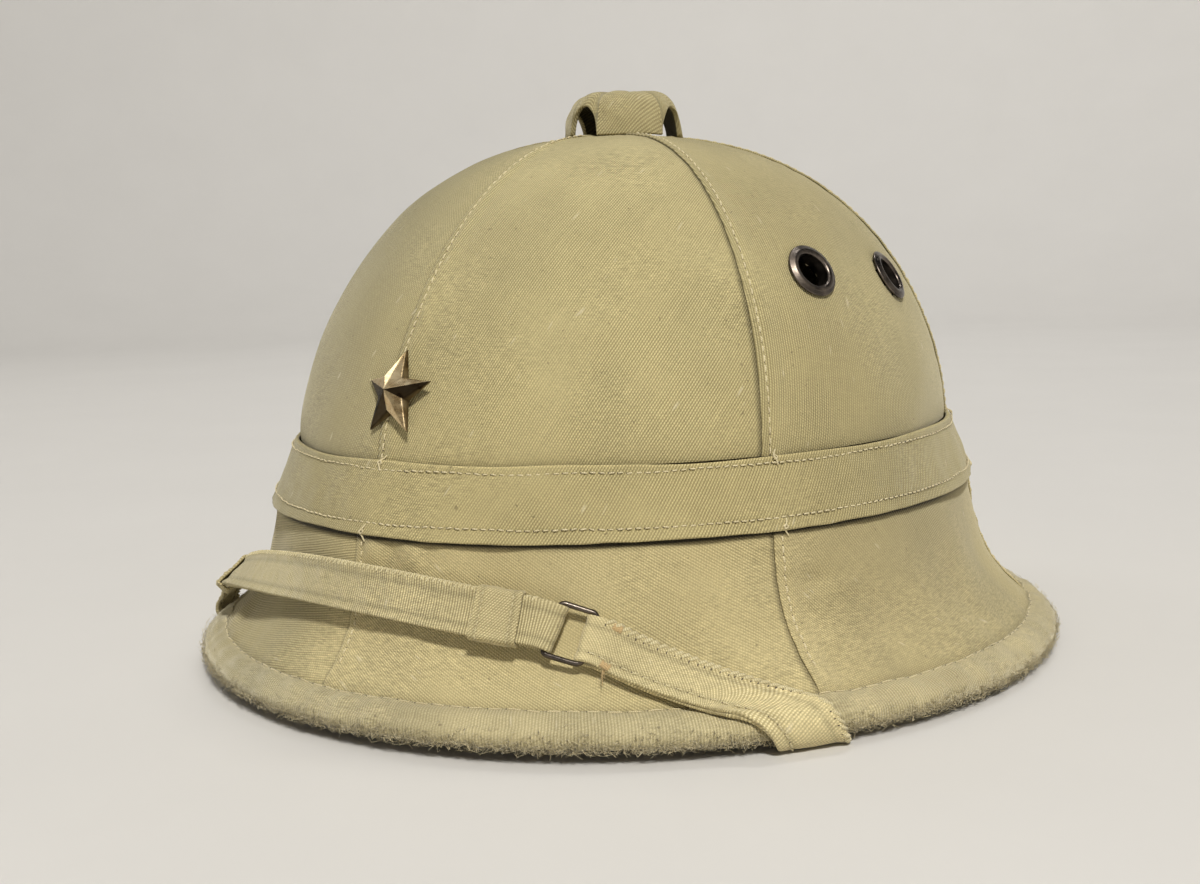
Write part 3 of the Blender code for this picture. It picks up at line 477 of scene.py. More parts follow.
def make_crown_cloth():
    u = np.sin(np.pi / 2 * np.linspace(0.0, 1.0, 130))
    u[-1] = APEX
    parts = Parts()
    for lap, fold_shade, az, _, base, normal, radius, way, uv in panels(crown_at, u, CROWN_TURN, 0.002, 0.997):
        near = seam_distance(az, radius)
        pucker = waves(way, az * 0.0016, 0.0075, 21) * 0.00007 * np.exp(-near / 0.012)
        slack = (waves(base[..., 0] + base[..., 1], base[..., 2], 0.045, 5) * 0.00022
                 * (1 - np.exp(-near / 0.02)))
        tuck = 0.00035 * np.exp(-way / 0.004)
        height = lap * np.clip(radius / 0.02, 0.2, 1) + pucker + slack - tuck
        # painted shade: darker beside each seam, at the folds, along the crown's foot just above the hatband,
        # and on the sides
        tone = fold_shade * (1 - 0.10 * bell(near - 0.0006, 0.0010)) * (1.02 - 0.10 * np.exp(-way / 0.003))
        parts.grid(base + normal * height[..., None], uv, tone * painted_side_shade(az), flip=True,
                   keep=lambda p: near_holes(p, HOLE_OUTSIDE))
    piece = parts.build("crown_cloth", CROWN_CLOTH, "khaki_cloth")
    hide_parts("crown")
    inner = Parts()
    az, v = np.meshgrid(np.linspace(-180, 180, 241), np.sin(np.pi / 2 * np.linspace(0, 1, 70)) * APEX)
    points = np.vstack([band_at(az[:1], np.array(CROWN_FOOT), WALL), crown_at(az, v, WALL)])
    uv = np.stack([np.radians(np.vstack([az[:1], az])) * 0.1, lengths(points)], -1)
    inner.grid(points, uv, keep=lambda p: near_holes(p, HOLE_INSIDE))
    # the inside in the darker cloth: painted shade
    inner.build("crown_inside", SHADED_INNER_CLOTH, "khaki_cloth")


# Dents and folds of the brim: azimuth, share of the way down, width in degrees, width in share, height
BRIM_DENTS = (
    (66, 0.36, 2.2, 0.07, -0.0011), (70, 0.42, 2.4, 0.05, 0.0008), (64.5, 0.58, 2.0, 0.06, -0.0007),
    (3, 0.10, 1.1, 0.10, 0.0011), (6, 0.12, 1.0, 0.10, -0.0011), (9.4, 0.11, 1.0, 0.10, 0.0009),
    (13, 0.08, 0.9, 0.08, -0.0006), (-30, 0.82, 2.6, 0.07, -0.0007), (-34, 0.88, 1.8, 0.06, 0.0006),
    (120, 0.3, 2.4, 0.06, -0.0006), (-95, 0.5, 3, 0.06, -0.0007))


def brim_relief(az, w, base):
    """Puckers near the hem, gathers beside the seams, slow waves over the brim, and its dents."""
    near = seam_distance(az, np.hypot(base[..., 0], base[..., 1]))
    rim_way = np.radians(az) * RIM_ROUND
    hem = np.exp(-(1 - w) * BRIM_RUN / 0.009)
    height = waves(rim_way, w * 0.012, 0.017, 31) * 0.00034 * hem
    height = height + waves(rim_way, w * 0.05, 0.045, 32) * 0.00045 * np.clip(w * 3, 0, 1) * (1 - 0.6 * hem)
    height = height + waves(w * 0.05, rim_way * 0.3, 0.008, 33) * 0.00012 * np.exp(-near / 0.010)
    for azimuth, share, wide, tall, deep in BRIM_DENTS:
        height = height + deep * bell(az - azimuth, wide) * bell(w - share, tall)
    return height


def make_brim_cloth():
    w = np.concatenate([np.linspace(-0.06, 0.9, 44), np.linspace(0.915, 0.985, 8), [0.992, 0.998, 1.004]])
    parts = Parts()
    for lap, fold_shade, az, v, base, normal, _, _, uv in panels(brim_at, w, BRIM_TURN):
        groove = 0.00042 * bell((v - 0.997) * BRIM_RUN, 0.0011)
        height = lap * np.clip((1.02 - v) / 0.09, 0.25, 1) + brim_relief(az, v, base) - groove
        # painted shade in the hem's stitch groove, on the wearer's left side and over the wearer's right half,
        # and a deep painted shadow in a narrow strip just under the hatband
        tone = fold_shade * (1 - 0.16 * bell((v - 0.998) * BRIM_RUN, 0.0014))
        tone = (tone * (1 - 0.20 * np.clip((np.abs(az - 88) - 26) / -8, 0, 1))
                * (1 - 0.20 * np.clip((az + 2) / -10, 0, 1)))
        tone = tone * (1 - 0.95 * bell(np.clip(v, 0, 1) * BRIM_RUN, 0.0013, 4))
        parts.grid(base + normal * height[..., None], uv, tone)
    piece = parts.build("brim_cloth", BRIM_CLOTH, "khaki_cloth")
    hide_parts("brim")


def make_brim_edge():
    """The edge strip, from the hem stitches round the padded roll, and the brim's underside."""
    az = np.linspace(-180, 180, 421)[:-1]
    rim_way = np.radians(az) * RIM_ROUND
    rows = []
    for share, deep in ((0.990, -0.0003), (0.996, -0.00012), (1.002, 0.00012)):
        w = np.full_like(az, share)
        base = brim_at(az, w)
        rows.append(base + normal_of(brim_at, az, w) * (deep + brim_relief(az, w, base) * 0.9)[:, None])
    hem_edge, first_rim, out = rows[-1], rim_at(az, 66.0), normal_of(brim_at, az, np.ones_like(az))
    puff = 0.00035 * waves(rim_way, 0.0, 0.013, 41) + 0.00025 * waves(rim_way, 0.0, 0.035, 42)
    for share in (0.2, 0.4, 0.6, 0.8):
        bulge = (0.0008 + puff) * math.sin(math.pi * share)
        rows.append(hem_edge * (1 - share) + first_rim * share + out * bulge[:, None])
    for angle in np.linspace(66, -165, 40):
        lump = 0.00016 * waves(rim_way, angle * 0.00005, 0.006, 43) + puff * 0.35
        rows.append(rim_at(az, angle, lump * np.clip((angle + 40) / 60, 0, 1)))
    for share in np.linspace(0.97, 0.0, 26):
        w = np.full_like(az, share)
        wave = 0.00012 * waves(rim_way, share * 0.05, 0.02, 44)
        rows.append(brim_at(az, w, WALL) - normal_of(brim_at, az, w) * wave[:, None])
    rows.append(band_at(az, np.array(BRIM_HEAD), WALL))
    points = np.array(rows)
    way = lengths(points)
    closed = lambda a: np.concatenate([a, a[:, :1]], 1)
    roll_round = 0.142
    uv = closed(np.stack([np.broadcast_to(np.radians(az) * roll_round, way.shape), way], -1))
    uv[:, -1, 0] = np.pi * roll_round
    # painted shade in the hem's stitch groove and a painted highlight on the lip below it; the roll has
    # painted shade towards the wearer's right front, with random tone
    tone = np.ones(way.shape)
    tone[:2] = 0.80
    tone[2] = 1.04
    tone[3:24] = 1.03 - 0.16 * bell(az + 40, 40, 4) + 0.06 * waves(rim_way, 0.0, 0.02, 45)
    split = 33
    # the underside in the darker cloth: painted shade
    for name, look, part in (("brim_edge", HEM_CLOTH, slice(None, split)),
                             ("brim_underside", SHADED_INNER_CLOTH, slice(split - 1, None))):
        parts = Parts()
        parts.grid(closed(points)[part], uv[part], closed(tone)[part])
        parts.build(name, look, "khaki_cloth")


def make_hatband():
    """A folded cloth strip, joined by a lap at the back."""
    az = np.linspace(-181.5, 181.5, 560)
    thick, top, low = BAND_THICK, BAND_TOP, BAND_BOTTOM
    section = [(top - 0.002, 0.0), (top - 0.0001, 0.0), (top, 0.0001), (top + 0.00008, 0.0005),
               (top + 0.00002, 0.0009), (top - 0.00015, thick - 0.0001), (top - 0.0004, thick)]
    section += [(z, thick) for z in np.linspace(top - 0.0008, low + 0.0008, 34)]
    section += [(low + 0.0003, thick), (low + 0.00005, thick - 0.0001), (low - 0.00006, 0.0009),
                (low, 0.0004), (low + 0.0003, 0.0002), (low + 0.0012, 0.0002)]
    z, off = np.array(section).T
    zz, aa = np.meshgrid(z, az, indexing="ij")
    way_round = np.radians(aa) * BAND_ROUND
    stitched = sum(bell(zz - at, 0.0006) for at in BAND_STITCHES)
    drop = 0.00022 * waves(way_round, 0.0, 0.06, 51) + 0.00008 * waves(way_round, 0.0, 0.016, 52)
    share_low = np.clip((low + 0.008 - zz) / 0.008, 0, 1)
    share_top = np.clip((zz - top + 0.006) / 0.006, 0, 1)
    wave = 0.00018 * waves(way_round, zz * 0.6, 0.03, 53) + 0.00008 * waves(way_round, zz, 0.009, 54)
    flare = share_low ** 2 * (0.00036 + 0.00015 * waves(way_round, 0.0, 0.03, 55))
    outside = np.clip(off[:, None] / thick, 0, 1)
    height = off[:, None] + GAP + wave * outside - 0.00016 * stitched * outside + flare
    z_at = zz + drop * share_low * 0.7 + 0.00025 * waves(way_round, 0.0, 0.06, 56) * share_top
    base = band_at(aa, z_at)
    out = normal_of(band_at, aa, z_at, 1e-4)
    points = base + out * height[..., None]
    uv = turned(np.stack([way_round, z_at * 1.09], -1), -30)
    # painted shade along the stitch grooves and on the band's tucked edges, a painted highlight on its top
    # fold, and the painted side shade
    tone = 1 - 0.06 * stitched + 0.22 * (zz > top - 0.0005)
    tone = tone * np.where(outside < 0.6, 0.75, 1.0) * (0.95 * painted_side_shade(aa) + 0.05)
    parts = Parts()
    parts.grid(points, uv, tone)
    piece = parts.build("hatband_cloth", BAND_CLOTH, "khaki_cloth")
    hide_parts("hatband")


# ---------------------------------------------------------------- stitches
def on_path(path, way, at):
    return np.stack([np.interp(at, way, path[:, k]) for k in range(3)], -1)


def stitch_row(parts, path, normals, length, gap, radius, rise=0.00016, seed=1, clear=None, pits=None):
    """Threads along a line: each rises out of the cloth, runs and dips back in through a needle hole."""
    r = np.random.default_rng(seed)
    way = lengths(path)
    starts = np.arange(0.0004, way[-1], length + gap)
    starts = starts[starts + length < way[-1]]
    if clear is not None:
        starts = starts[np.interp(starts + length / 2, way, clear.astype(float)) > 0.5]
    if len(starts) == 0:
        return
    size = length * r.uniform(0.86, 1.06, len(starts))
    sink = 0.00022
    shares = np.array([0.0, 0.10, 0.30, 0.55, 0.80, 0.93, 1.0])
    lift = np.array([-sink * 1.6, -sink * 0.2, rise * 0.8, rise, rise * 0.75, -sink * 0.2, -sink * 1.6])
    thin = np.array([0.55, 0.9, 1.05, 1.08, 1.02, 0.85, 0.5])
    at = starts[:, None] + size[:, None] * shares[None, :]
    centre = on_path(path, way, at)
    normal = unit(on_path(normals, way, at))
    along = unit(on_path(path, way, at + 1e-4) - on_path(path, way, at - 1e-4))
    side = np.cross(normal, along)
    slant = (r.normal(0, 0.00010, len(starts))[:, None] * (shares - 0.5)[None, :] * 2
             + r.normal(0, 0.00005, len(starts))[:, None])
    # dark threads sunk at both ends of each stitch: painted shade of the needle holes
    if pits is not None:
        ends = [0, -1, 0]
        hole = centre[:, ends] + along[:, ends] * np.array([-0.9, -0.9, 0.6])[:, None] * radius
        hole[:, 1] = (hole[:, 0] + hole[:, 2]) / 2
        hole = hole - normal[:, [0, 0, 0]] * radius * 0.7
        threads(pits, hole, side[:, [0, 0, 0]], normal[:, [0, 0, 0]], radius * np.array([0.7, 1.25, 0.7]),
                seed, 6)
    centre = (centre + normal * (lift[None, :, None] * r.uniform(0.8, 1.25, (len(starts), 1, 1)))
              + side * slant[..., None])
    threads(parts, centre, side, normal, radius * thin, seed)


def threads(parts, centre, side, normal, radius, seed, sides=7):
    """Many short round threads at once: centre, side and normal are (count, points, 3)."""
    r = np.random.default_rng(seed)
    count, points = centre.shape[:2]
    turn = circle(sides)
    round_about = side[:, :, None] * np.cos(turn)[:, None] + normal[:, :, None] * np.sin(turn)[:, None]
    thick = np.broadcast_to(radius, (count, points)) * r.uniform(0.9, 1.12, (count, 1))
    ring = centre[:, :, None] + round_about * thick[..., None, None]
    way = lengths(centre, 1)[:, :, None] + r.uniform(0, 1, (count, 1, 1))
    uv = np.stack(np.broadcast_arrays(way, turn / (2 * np.pi)), -1)
    tone = np.broadcast_to(r.uniform(0.85, 1.12, (count, 1, 1)), uv.shape[:3])
    faces = grid_faces(points, sides, wrap_cols=True)
    starts = parts.count + np.arange(count) * points * sides
    parts.faces.append((faces[None] + starts[:, None, None]).reshape(-1, 4))
    parts.verts.append(ring.reshape(-1, 3))
    parts.uv.append(uv.reshape(-1, 2))
    parts.tone.append(tone.ravel())
    parts.count += count * points * sides


def seam_path(surface, azimuth, side, values, back, height=0.00058):
    base = surface(np.full_like(values, azimuth), values)
    radius = np.hypot(base[:, 0], base[:, 1])
    az = azimuth + side * np.degrees(back / np.maximum(radius, 0.004))
    normal = normal_of(surface, az, np.clip(values, -0.1, 0.995))
    return surface(az, values) + normal * height, normal


def make_stitches():
    parts, pits = Parts(), Parts()
    for azimuth, side in SEAMS[1:]:
        u = np.sin(np.pi / 2 * np.linspace(0.0, 0.93, 160))
        path, normal = seam_path(crown_at, azimuth, side, u, 0.0019)
        stitch_row(parts, path, normal, 0.0022, 0.0007, 0.00022, seed=azimuth + 500, pits=pits)
        w = np.linspace(0.02, 0.90, 90)
        back = 0.0021
        path, normal = seam_path(brim_at, azimuth, side, w, back, 0.00056)
        az = azimuth + side * np.degrees(back / np.hypot(path[:, 0], path[:, 1]))
        path = path + normal * brim_relief(az, w, path)[:, None]
        stitch_row(parts, path, normal, 0.0021, 0.0007, 0.00028, rise=0.00022, seed=azimuth + 900, pits=pits)
    parts.build("seam_stitches", THREAD, "khaki_cloth")
    parts = Parts()
    az = np.linspace(-181, 181, 1400)
    for height, seed, lift in zip(BAND_STITCHES, (3, 4), (0.00006, 0.00022)):
        z = np.full_like(az, height)
        normal = normal_of(band_at, az, z, 1e-4)
        wobble = 0.00012 * waves(np.radians(az) * BAND_ROUND, 0.0, 0.03, seed)
        path = band_at(az, z + wobble) + normal * (BAND_THICK + GAP + lift)
        stitch_row(parts, path, normal, 0.0017, 0.0008, radius=0.00020, rise=0.00016, seed=seed, pits=pits)
    parts.build("hatband_stitches", THREAD, "khaki_cloth")
    parts = Parts()
    w = np.full_like(az, 0.9975)
    normal = normal_of(brim_at, az, w)
    path = brim_at(az, w) + normal * (brim_relief(az, w, brim_at(az, w)) + 0.00010)[:, None]
    stitch_row(parts, path, normal, 0.0040, 0.0013, radius=0.00018, rise=0.00002, seed=8, pits=pits)
    parts.build("hem_stitches", THREAD, "khaki_cloth")
    pits.build("needle_holes", PIT, "khaki_cloth")


def make_loose_threads():
    """Thread ends that hang out where the seams meet the hatband, and one that strayed beside the star."""
    parts = Parts()
    for azimuth, side in SEAMS[1:]:
        for height, sign in ((BAND_TOP - 0.0008, 1), (BAND_BOTTOM + 0.0008, -1)):
            turn = azimuth + side * 1.3
            out = normal_of(band_at, np.array([float(turn)]), np.array([height]), 1e-4)[0]

            def place(shift, z, lift):
                return band_at(np.array(turn + shift), np.array(z)) + out * (0.0018 + lift)

            tube(parts, [place(0.35, height - sign * 0.0022, 0.0), place(0.1, height - sign * 0.0008, 0.0005),
                         place(-0.25, height + sign * 0.0002, 0.0006),
                         place(0.1, height + sign * 0.0012, -0.0004),
                         place(0.55, height + sign * 0.0023, -0.0008)], 0.00022)
            knot = [place(0.30 * math.sin(k * 1.7), height + 0.0006 * math.cos(k * 1.7),
                          0.0003 + 0.0002 * math.sin(k)) for k in range(7)]
            tube(parts, knot, 0.00018)
    stray = ((-5.6, 0.235, 0.0006), (-5.0, 0.228, 0.0010), (-4.2, 0.224, 0.0008), (-3.3, 0.214, 0.0010),
             (-2.4, 0.212, 0.0006))
    seats = [frame_on_crown(a, u) for a, u, _ in stray]
    tube(parts, [point + out * row[2] for (point, out, _), row in zip(seats, stray)], 0.00009)
    parts.build("loose_threads", THREAD, "khaki_cloth")


def make_rim_fuzz():
    """Short curled fibres that stand off the felted roll of the rim."""
    r = np.random.default_rng(77)
    count = 11000
    az = r.uniform(-180, 180, count)
    angle = r.normal(-34, 34, count)
    root = rim_at(az, angle, 0.0)
    out = unit(rim_at(az, angle, 0.001) - root)
    along = unit(rim_at(az + 0.1, angle) - root)
    size = r.uniform(0.0008, 0.0026, (count, 1))
    lean = r.normal(0, 1.0, (count, 1))
    points = [root - out * 0.0002]
    for share in (0.35, 0.7, 1.0):
        curl = r.normal(0, 0.22, (count, 3)) * size
        points.append(root + out * size * share * 0.6 + along * lean * size * share ** 2 + curl)
    centre = np.stack(points, 1)
    centre[..., 2] = np.maximum(centre[..., 2], 0.00015)
    parts = Parts()
    shape = np.ones((1, 4, 1))
    threads(parts, centre, along[:, None] * shape, out[:, None] * shape,
            0.00009 * np.array([1.2, 1.0, 0.8, 0.4]), 78, 3)
    parts.build("rim_fuzz", THREAD, "khaki_cloth")


def curve_through(points, t):
    """A smooth curve through points; t counts points."""
    i = np.clip(t.astype(int), 0, len(points) - 2)
    s = (t - i)[..., None]
    p0, p1, p2, p3 = (points[np.clip(i + k, 0, len(points) - 1)] for k in (-1, 0, 1, 2))
    return 0.5 * (2 * p1 + (p2 - p0) * s + (2 * p0 - 5 * p1 + 4 * p2 - p3) * s ** 2
                  + (3 * p1 - p0 - 3 * p2 + p3) * s ** 3)


def tube(parts, path, radius):
    """A soft thread through a few points."""
    last = len(path) - 1
    t = np.linspace(0, last, 8 * last + 1)
    c = curve_through(np.asarray(path, float), t)
    d = unit(np.gradient(c, axis=0))
    a = unit(np.cross(d, np.array([0.3, 0.5, 0.81])))
    b = np.cross(d, a)
    turn = circle(7)[None, :, None]
    thin = radius * np.clip(np.minimum(t, last - t) * 4 + 0.35, 0.35, 1)
    ring = c[:, None] + (a[:, None] * np.cos(turn) + b[:, None] * np.sin(turn)) * thin[:, None, None]
    uv = np.stack(np.broadcast_arrays(lengths(c)[:, None], turn[..., 0] / (2 * np.pi)), -1)
    parts.grid(ring, uv, wrap_cols=True)


# ---------------------------------------------------------------- ventilator cap
CAP_W, CAP_H, CAP_WALL, CAP_SQUARE, CAP_TURN = 0.0193, 0.0150, 0.0016, 4.5, 45.0
ARCH_W, ARCH_H = 0.0054, 0.0098
CAP_LINE = np.array(((1.01, -0.10), (1.0, 0.0), (0.973, 0.28), (0.924, 0.54), (0.855, 0.74), (0.735, 0.89),
                     (0.58, 0.972), (0.40, 0.997), (0.20, 1.0), (0.0, 1.0)))


def crown_top(x, y, inset):
    low, high = np.zeros_like(x), np.ones_like(x)
    for _ in range(40):
        mid = (low + high) / 2
        front = -y > APEX_SHIFT * mid
        length = (CROWN_L - inset) * np.where(front, reach("front", mid), reach("back", mid))
        inside = ((y + APEX_SHIFT * mid) / np.maximum(length, 1e-6)) ** 2 \
            + (x / np.maximum((CROWN_W - inset) * reach("side", mid), 1e-6)) ** 2 < 1
        low, high = np.where(inside, mid, low), np.where(inside, high, mid)
    return BAND_TOP + (RISE - inset) * low


def square(azimuth):
    t = np.radians(azimuth)
    return (np.abs(np.cos(t)) ** CAP_SQUARE + np.abs(np.sin(t)) ** CAP_SQUARE) ** (-1 / CAP_SQUARE)


def make_cap():
    base = BAND_TOP + RISE
    quarter = np.unique(np.concatenate([np.linspace(-45, 45, 61), 45 - np.linspace(-17, 17, 69)]) % 90)
    az = np.concatenate([quarter + 90 * k for k in range(4)])
    radius = CAP_W * square(az)
    turn = np.radians(az + CAP_TURN)
    seat = crown_top(radius * np.sin(turn), -radius * np.cos(turn), -0.0007) + GAP
    off = radius * np.abs(np.sin(np.radians(az % 90 - 45)))
    arch = np.sqrt(np.clip(1 - (off / ARCH_W) ** 2, 0, None))
    floor = (seat - base + ARCH_H * arch ** 0.9) / CAP_H + 0.012 * np.sin(np.radians(az * 4)) * (arch == 0)
    fine = np.linspace(0, len(CAP_LINE) - 1, 900)
    line = curve_through(CAP_LINE, fine)
    start = np.interp(floor, line[:, 1], fine)
    rows = np.linspace(0, 1, 44) ** 0.9
    t = start[None] + (len(CAP_LINE) - 1 - start[None]) * rows[:, None]
    at = curve_through(CAP_LINE, t)

    def place(reach_share, height, inset):
        r = np.maximum(CAP_W * reach_share - inset, 0.0) * square(az)[None]
        z = base + height * CAP_H - inset * np.clip((height - 0.7) / 0.3, 0, 1)
        return np.stack([r * np.sin(turn)[None], -r * np.cos(turn)[None], z], -1)

    soft = waves(np.radians(az)[None] * 0.02, at[..., 1] * 0.012, 0.009, 61) * 0.00016
    outer = place(at[..., 0], at[..., 1], -soft)
    inner = place(at[..., 0], at[..., 1], CAP_WALL)
    mid, half, lip = (outer[0] + inner[0]) / 2, (outer[0] - inner[0]) / 2, np.array([0, 0, 0.0006])
    edge = np.array([mid + half * math.cos(a) / math.cos(math.radians(30)) - lip * math.sin(a)
                     for a in np.radians(np.linspace(150, 30, 7))])
    points = np.concatenate([inner[::-1], edge, outer])
    way = lengths(points)
    flap_middle = np.round(az / 90) * 90
    across = np.radians(az - flap_middle)[None] * 0.021 * np.ones_like(way)
    uv = turned(np.stack([across, way], -1), -45)
    # darker near the lower edge; the cap's inside is painted shade
    dark = np.exp(-np.linalg.norm(points - points[len(inner) + 3][None], axis=-1) / 0.0012)
    tone = (1 - 0.12 * dark) * np.where(np.arange(len(points))[:, None] < len(inner), 0.28, 1.0)
    parts = Parts()
    parts.grid(points, uv, tone, wrap_cols=True, flip=True)
    piece = parts.build("vent_cap_cloth", CAP_CLOTH, "khaki_cloth")
    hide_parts("vent_cap")


# ---------------------------------------------------------------- eyelets and star
def make_eyelets():
    outer, hole, bead, bead_out, bead_up = 0.0086, 0.0054, 0.00125, 0.00655, 0.00035
    rows = [(outer - 0.0002, 0.00018), (outer, 0.00035), (outer - 0.00005, 0.00068), (outer - 0.0003, 0.00092)]
    rows += [(bead_out + bead * math.cos(a), bead_up + bead * math.sin(a))
             for a in np.radians(np.linspace(40, 158, 14))]
    rows += [(hole + 0.00005, 0.0006), (hole, 0.0), (hole, -0.0012), (hole, -WALL - 0.0006),
             (hole + 0.0003, -WALL - 0.0008), (hole + 0.0006, -WALL - 0.0007), (hole + 0.0006, -0.0002)]
    tone = np.array([0.55, 0.7, 1.0, 0.9] + [1.0] * 14 + [0.7, 0.5, 0.3, 0.2, 0.2, 0.2, 0.2])[:, None]
    parts = Parts()
    turn = circle(96)[:, None]
    for point, normal, up in SEATS:
        round_about = np.cross(up, normal) * np.cos(turn) + up * np.sin(turn)
        ring = np.array([point + normal * (d + GAP * 0.3) + round_about * r for r, d in rows])
        parts.grid(ring, None, tone, wrap_cols=True, flip=True)
    piece = parts.build("eyelets", GUNMETAL, "gunmetal")
    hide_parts("grommet_left_front", "grommet_left_rear", "grommet_right_front", "grommet_right_rear")


# How light each facet is, round the star from its top arm; 0 is dark with patina. The dark facets are partly
# the badge's patina and partly painted shade for facets that reflect little light
STAR_PATINA_AND_SHADE = (0.85, 1.0, 0.0, 0.80, 0.9, 0.05, 0.0, 0.05, 0.8, 1.0)


def make_star():
    """Five ridged arms; the ridges and valleys are slightly rounded and the rim has a thin turned edge."""
    point, outward, up = frame_on_crown(2.1, 0.192)
    base = point + outward * 0.0010
    turn = math.radians(-5.0)
    normal = outward * math.cos(turn) + np.cross(up, outward) * math.sin(turn)
    side = np.cross(up, normal)
    radius, waist, relief, edge, waist_edge, left_waist = 0.0134, 0.41, 0.0056, 0.0007, 0.0026, 0.0038
    parts = Parts()
    for arm in range(10):
        a0, a1 = math.pi * arm / 5, math.pi * (arm + 1) / 5
        r0, r1 = (radius, radius * waist) if arm % 2 == 0 else (radius * waist, radius)
        c0 = np.array([math.cos(a0), math.sin(a0)]) * r0
        c1 = np.array([math.cos(a1), math.sin(a1)]) * r1
        i, j = np.meshgrid(np.linspace(0, 1, 44), np.linspace(0, 1, 20), indexing="ij")
        flat = (c0[None, None] * (1 - j[..., None]) + c1[None, None] * j[..., None]) * i[..., None]
        hollow = left_waist if arm in (8, 9) else waist_edge
        height = (edge * (1 - j) + hollow * j) if arm % 2 == 0 else (hollow * (1 - j) + edge * j)
        height = height * i + relief * (1 - i)
        near_ridge = np.where(j < 0.5, j, 1 - j) * i * 2
        tip_is_ridge = (j < 0.5) == (arm % 2 == 0)
        height = (height - np.where(tip_is_ridge, 1, -1) * 0.00009 * np.exp(-near_ridge / 0.05)
                  * np.clip(i * 4, 0, 1))
        height = height - 0.00030 * bell(1 - i, 0.03)
        cloud = 0.00004 * waves(flat[..., 0], flat[..., 1], 0.006, 71 + arm)
        p = base + up * flat[..., :1] + side * flat[..., 1:] + normal * (height + cloud)[..., None]
        outline = base + (up * flat[-1, :, :1] + side * flat[-1, :, 1:]) * 1.004
        skirt = np.stack([outline + normal * h for h in (edge * 0.4, 0.0)])
        tone = 1 - 0.45 * bell(1 - i, 0.04) - 0.35 * np.exp(-near_ridge / 0.04) * (~tip_is_ridge)
        # each facet's patina, with painted shade on the facets that reflect little light
        tone = np.concatenate([tone * STAR_PATINA_AND_SHADE[arm], np.full((2, 20), 0.2)])
        parts.grid(np.concatenate([p, skirt]), None, tone)
    piece = parts.build("star", BRONZE, "copper_bronze")
    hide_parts("star_badge")


# ---------------------------------------------------------------- chin strap
STRAP_W, CLOTH_T, BOW = 0.0136, 0.0011, 0.0080
STRAP_STEP, SEAM_INSET, STITCH_AT = 0.00075, 0.0026, 0.0043
LEFT_KEEPER, RIGHT_KEEPER, KEEPER_REACH = 23.2, -42.0, 0.007
WIRE, BARS, RING_AZ, RING_DROP, RING_SLANT, RING_LEAD = 0.0017, 0.0104, 32.4, 0.405, 20.0, 0.0035
# The routes: azimuth, drop (1 is the rim's lowest point), height in BOW, tilt in degrees, skew to the rim
LONG_ROUTE = np.array((
    (24.5, .330, .66, 2, 0), (10, .264, .56, 4, 0), (-3, .248, .56, 6, 0), (-15, .276, .62, 9, 0),
    (-27, .350, .84, 13, 0), (-38, .480, 1.05, 13, 0), (-47, .650, .84, 6, .3), (-54, .835, .52, 0, 1),
    (-57.5, .970, .39, 0, 1), (-61, 1.120, .38, 0, 1), (-66, 1.300, .28, 0, .4), (-71, 1.450, .26, 0, .2),
    (-75, 1.560, .26, 0, .2)))
SHORT_ROUTE = np.array((
    (39.0, .525, .56, 0, 0), (45.8, .672, .48, 0, .2), (53.3, .838, .39, 0, 1), (57.0, .970, .38, 0, 1),
    (60.6, 1.120, .38, 0, 1), (65.6, 1.300, .44, 0, .4), (70.6, 1.450, .45, 0, .2), (74.6, 1.560, .45, 0, .2)))
FOLD_R = WIRE / 2 + GAP + CLOTH_T / 2
RING_H = FOLD_R + CLOTH_T / 2 + 0.00075 + 0.0007


def skin(az):
    """The brim's section at each azimuth: down the outside, round the roll and up the inside."""
    a = np.asarray(az, float)[..., None]
    share = np.arange(13) / 12
    points = np.concatenate([brim_at(a, share), rim_at(a, np.arange(60.0, -172.0, -10.0)),
                             brim_at(a, 1 - share[1:], WALL)], -2)
    way = np.linalg.norm(np.diff(points, axis=-2), axis=-1).cumsum(-1)
    way = np.concatenate([np.zeros_like(way[..., :1]), way], -1)
    full = np.take_along_axis(way, points[..., 2].argmin(-1)[..., None], -1)[..., 0]
    return points, way, full


def pick(table, index):
    return np.take_along_axis(table, index[..., None, None] + np.zeros(3, int), -2)[..., 0, :]


def on_skin(az, drop, height):
    az, drop, height = np.broadcast_arrays(az, drop, height)
    points, way, _ = skin(az)
    last = points.shape[-2] - 1
    index = np.clip((way < drop[..., None]).sum(-1) - 1, 1, last - 1)
    low = np.take_along_axis(way, index[..., None], -1)[..., 0]
    high = np.take_along_axis(way, index[..., None] + 1, -1)[..., 0]
    share = ((drop - low) / (high - low))[..., None]
    p1, p2 = pick(points, index), pick(points, index + 1)
    before, after = p2 - pick(points, index - 1), pick(points, np.minimum(index + 2, last)) - p1
    along = before * (1 - share) + after * share
    t = np.radians(az)
    level = unit(np.stack([np.sin(t) / BRIM_W, -np.cos(t) / BRIM_L, 0 * t], -1))
    out = unit(np.stack([-along[..., 2], (along * level).sum(-1)], -1))
    return (p1 * (1 - share) + p2 * share + (level * out[..., :1] + np.array([0, 0, 1.0]) * out[..., 1:])
            * height[..., None])


def rim_scale(az, drop, height):
    return np.linalg.norm(on_skin(az + 0.5, drop, height) - on_skin(az - 0.5, drop, height), axis=-1)


def full_route(side, rows):
    slant = math.radians(RING_SLANT)
    full = float(skin(RING_AZ)[2])
    bow = RING_H + FOLD_R
    scale = float(rim_scale(RING_AZ, RING_DROP * full, bow))
    first = []
    for beyond in (0.0, RING_LEAD):
        along = side * (BARS / 2 + beyond)
        first.append((RING_AZ + along * math.cos(slant) / scale, RING_DROP + along * math.sin(slant) / full,
                      bow / BOW, 0, 0))
    return np.vstack([first, rows])


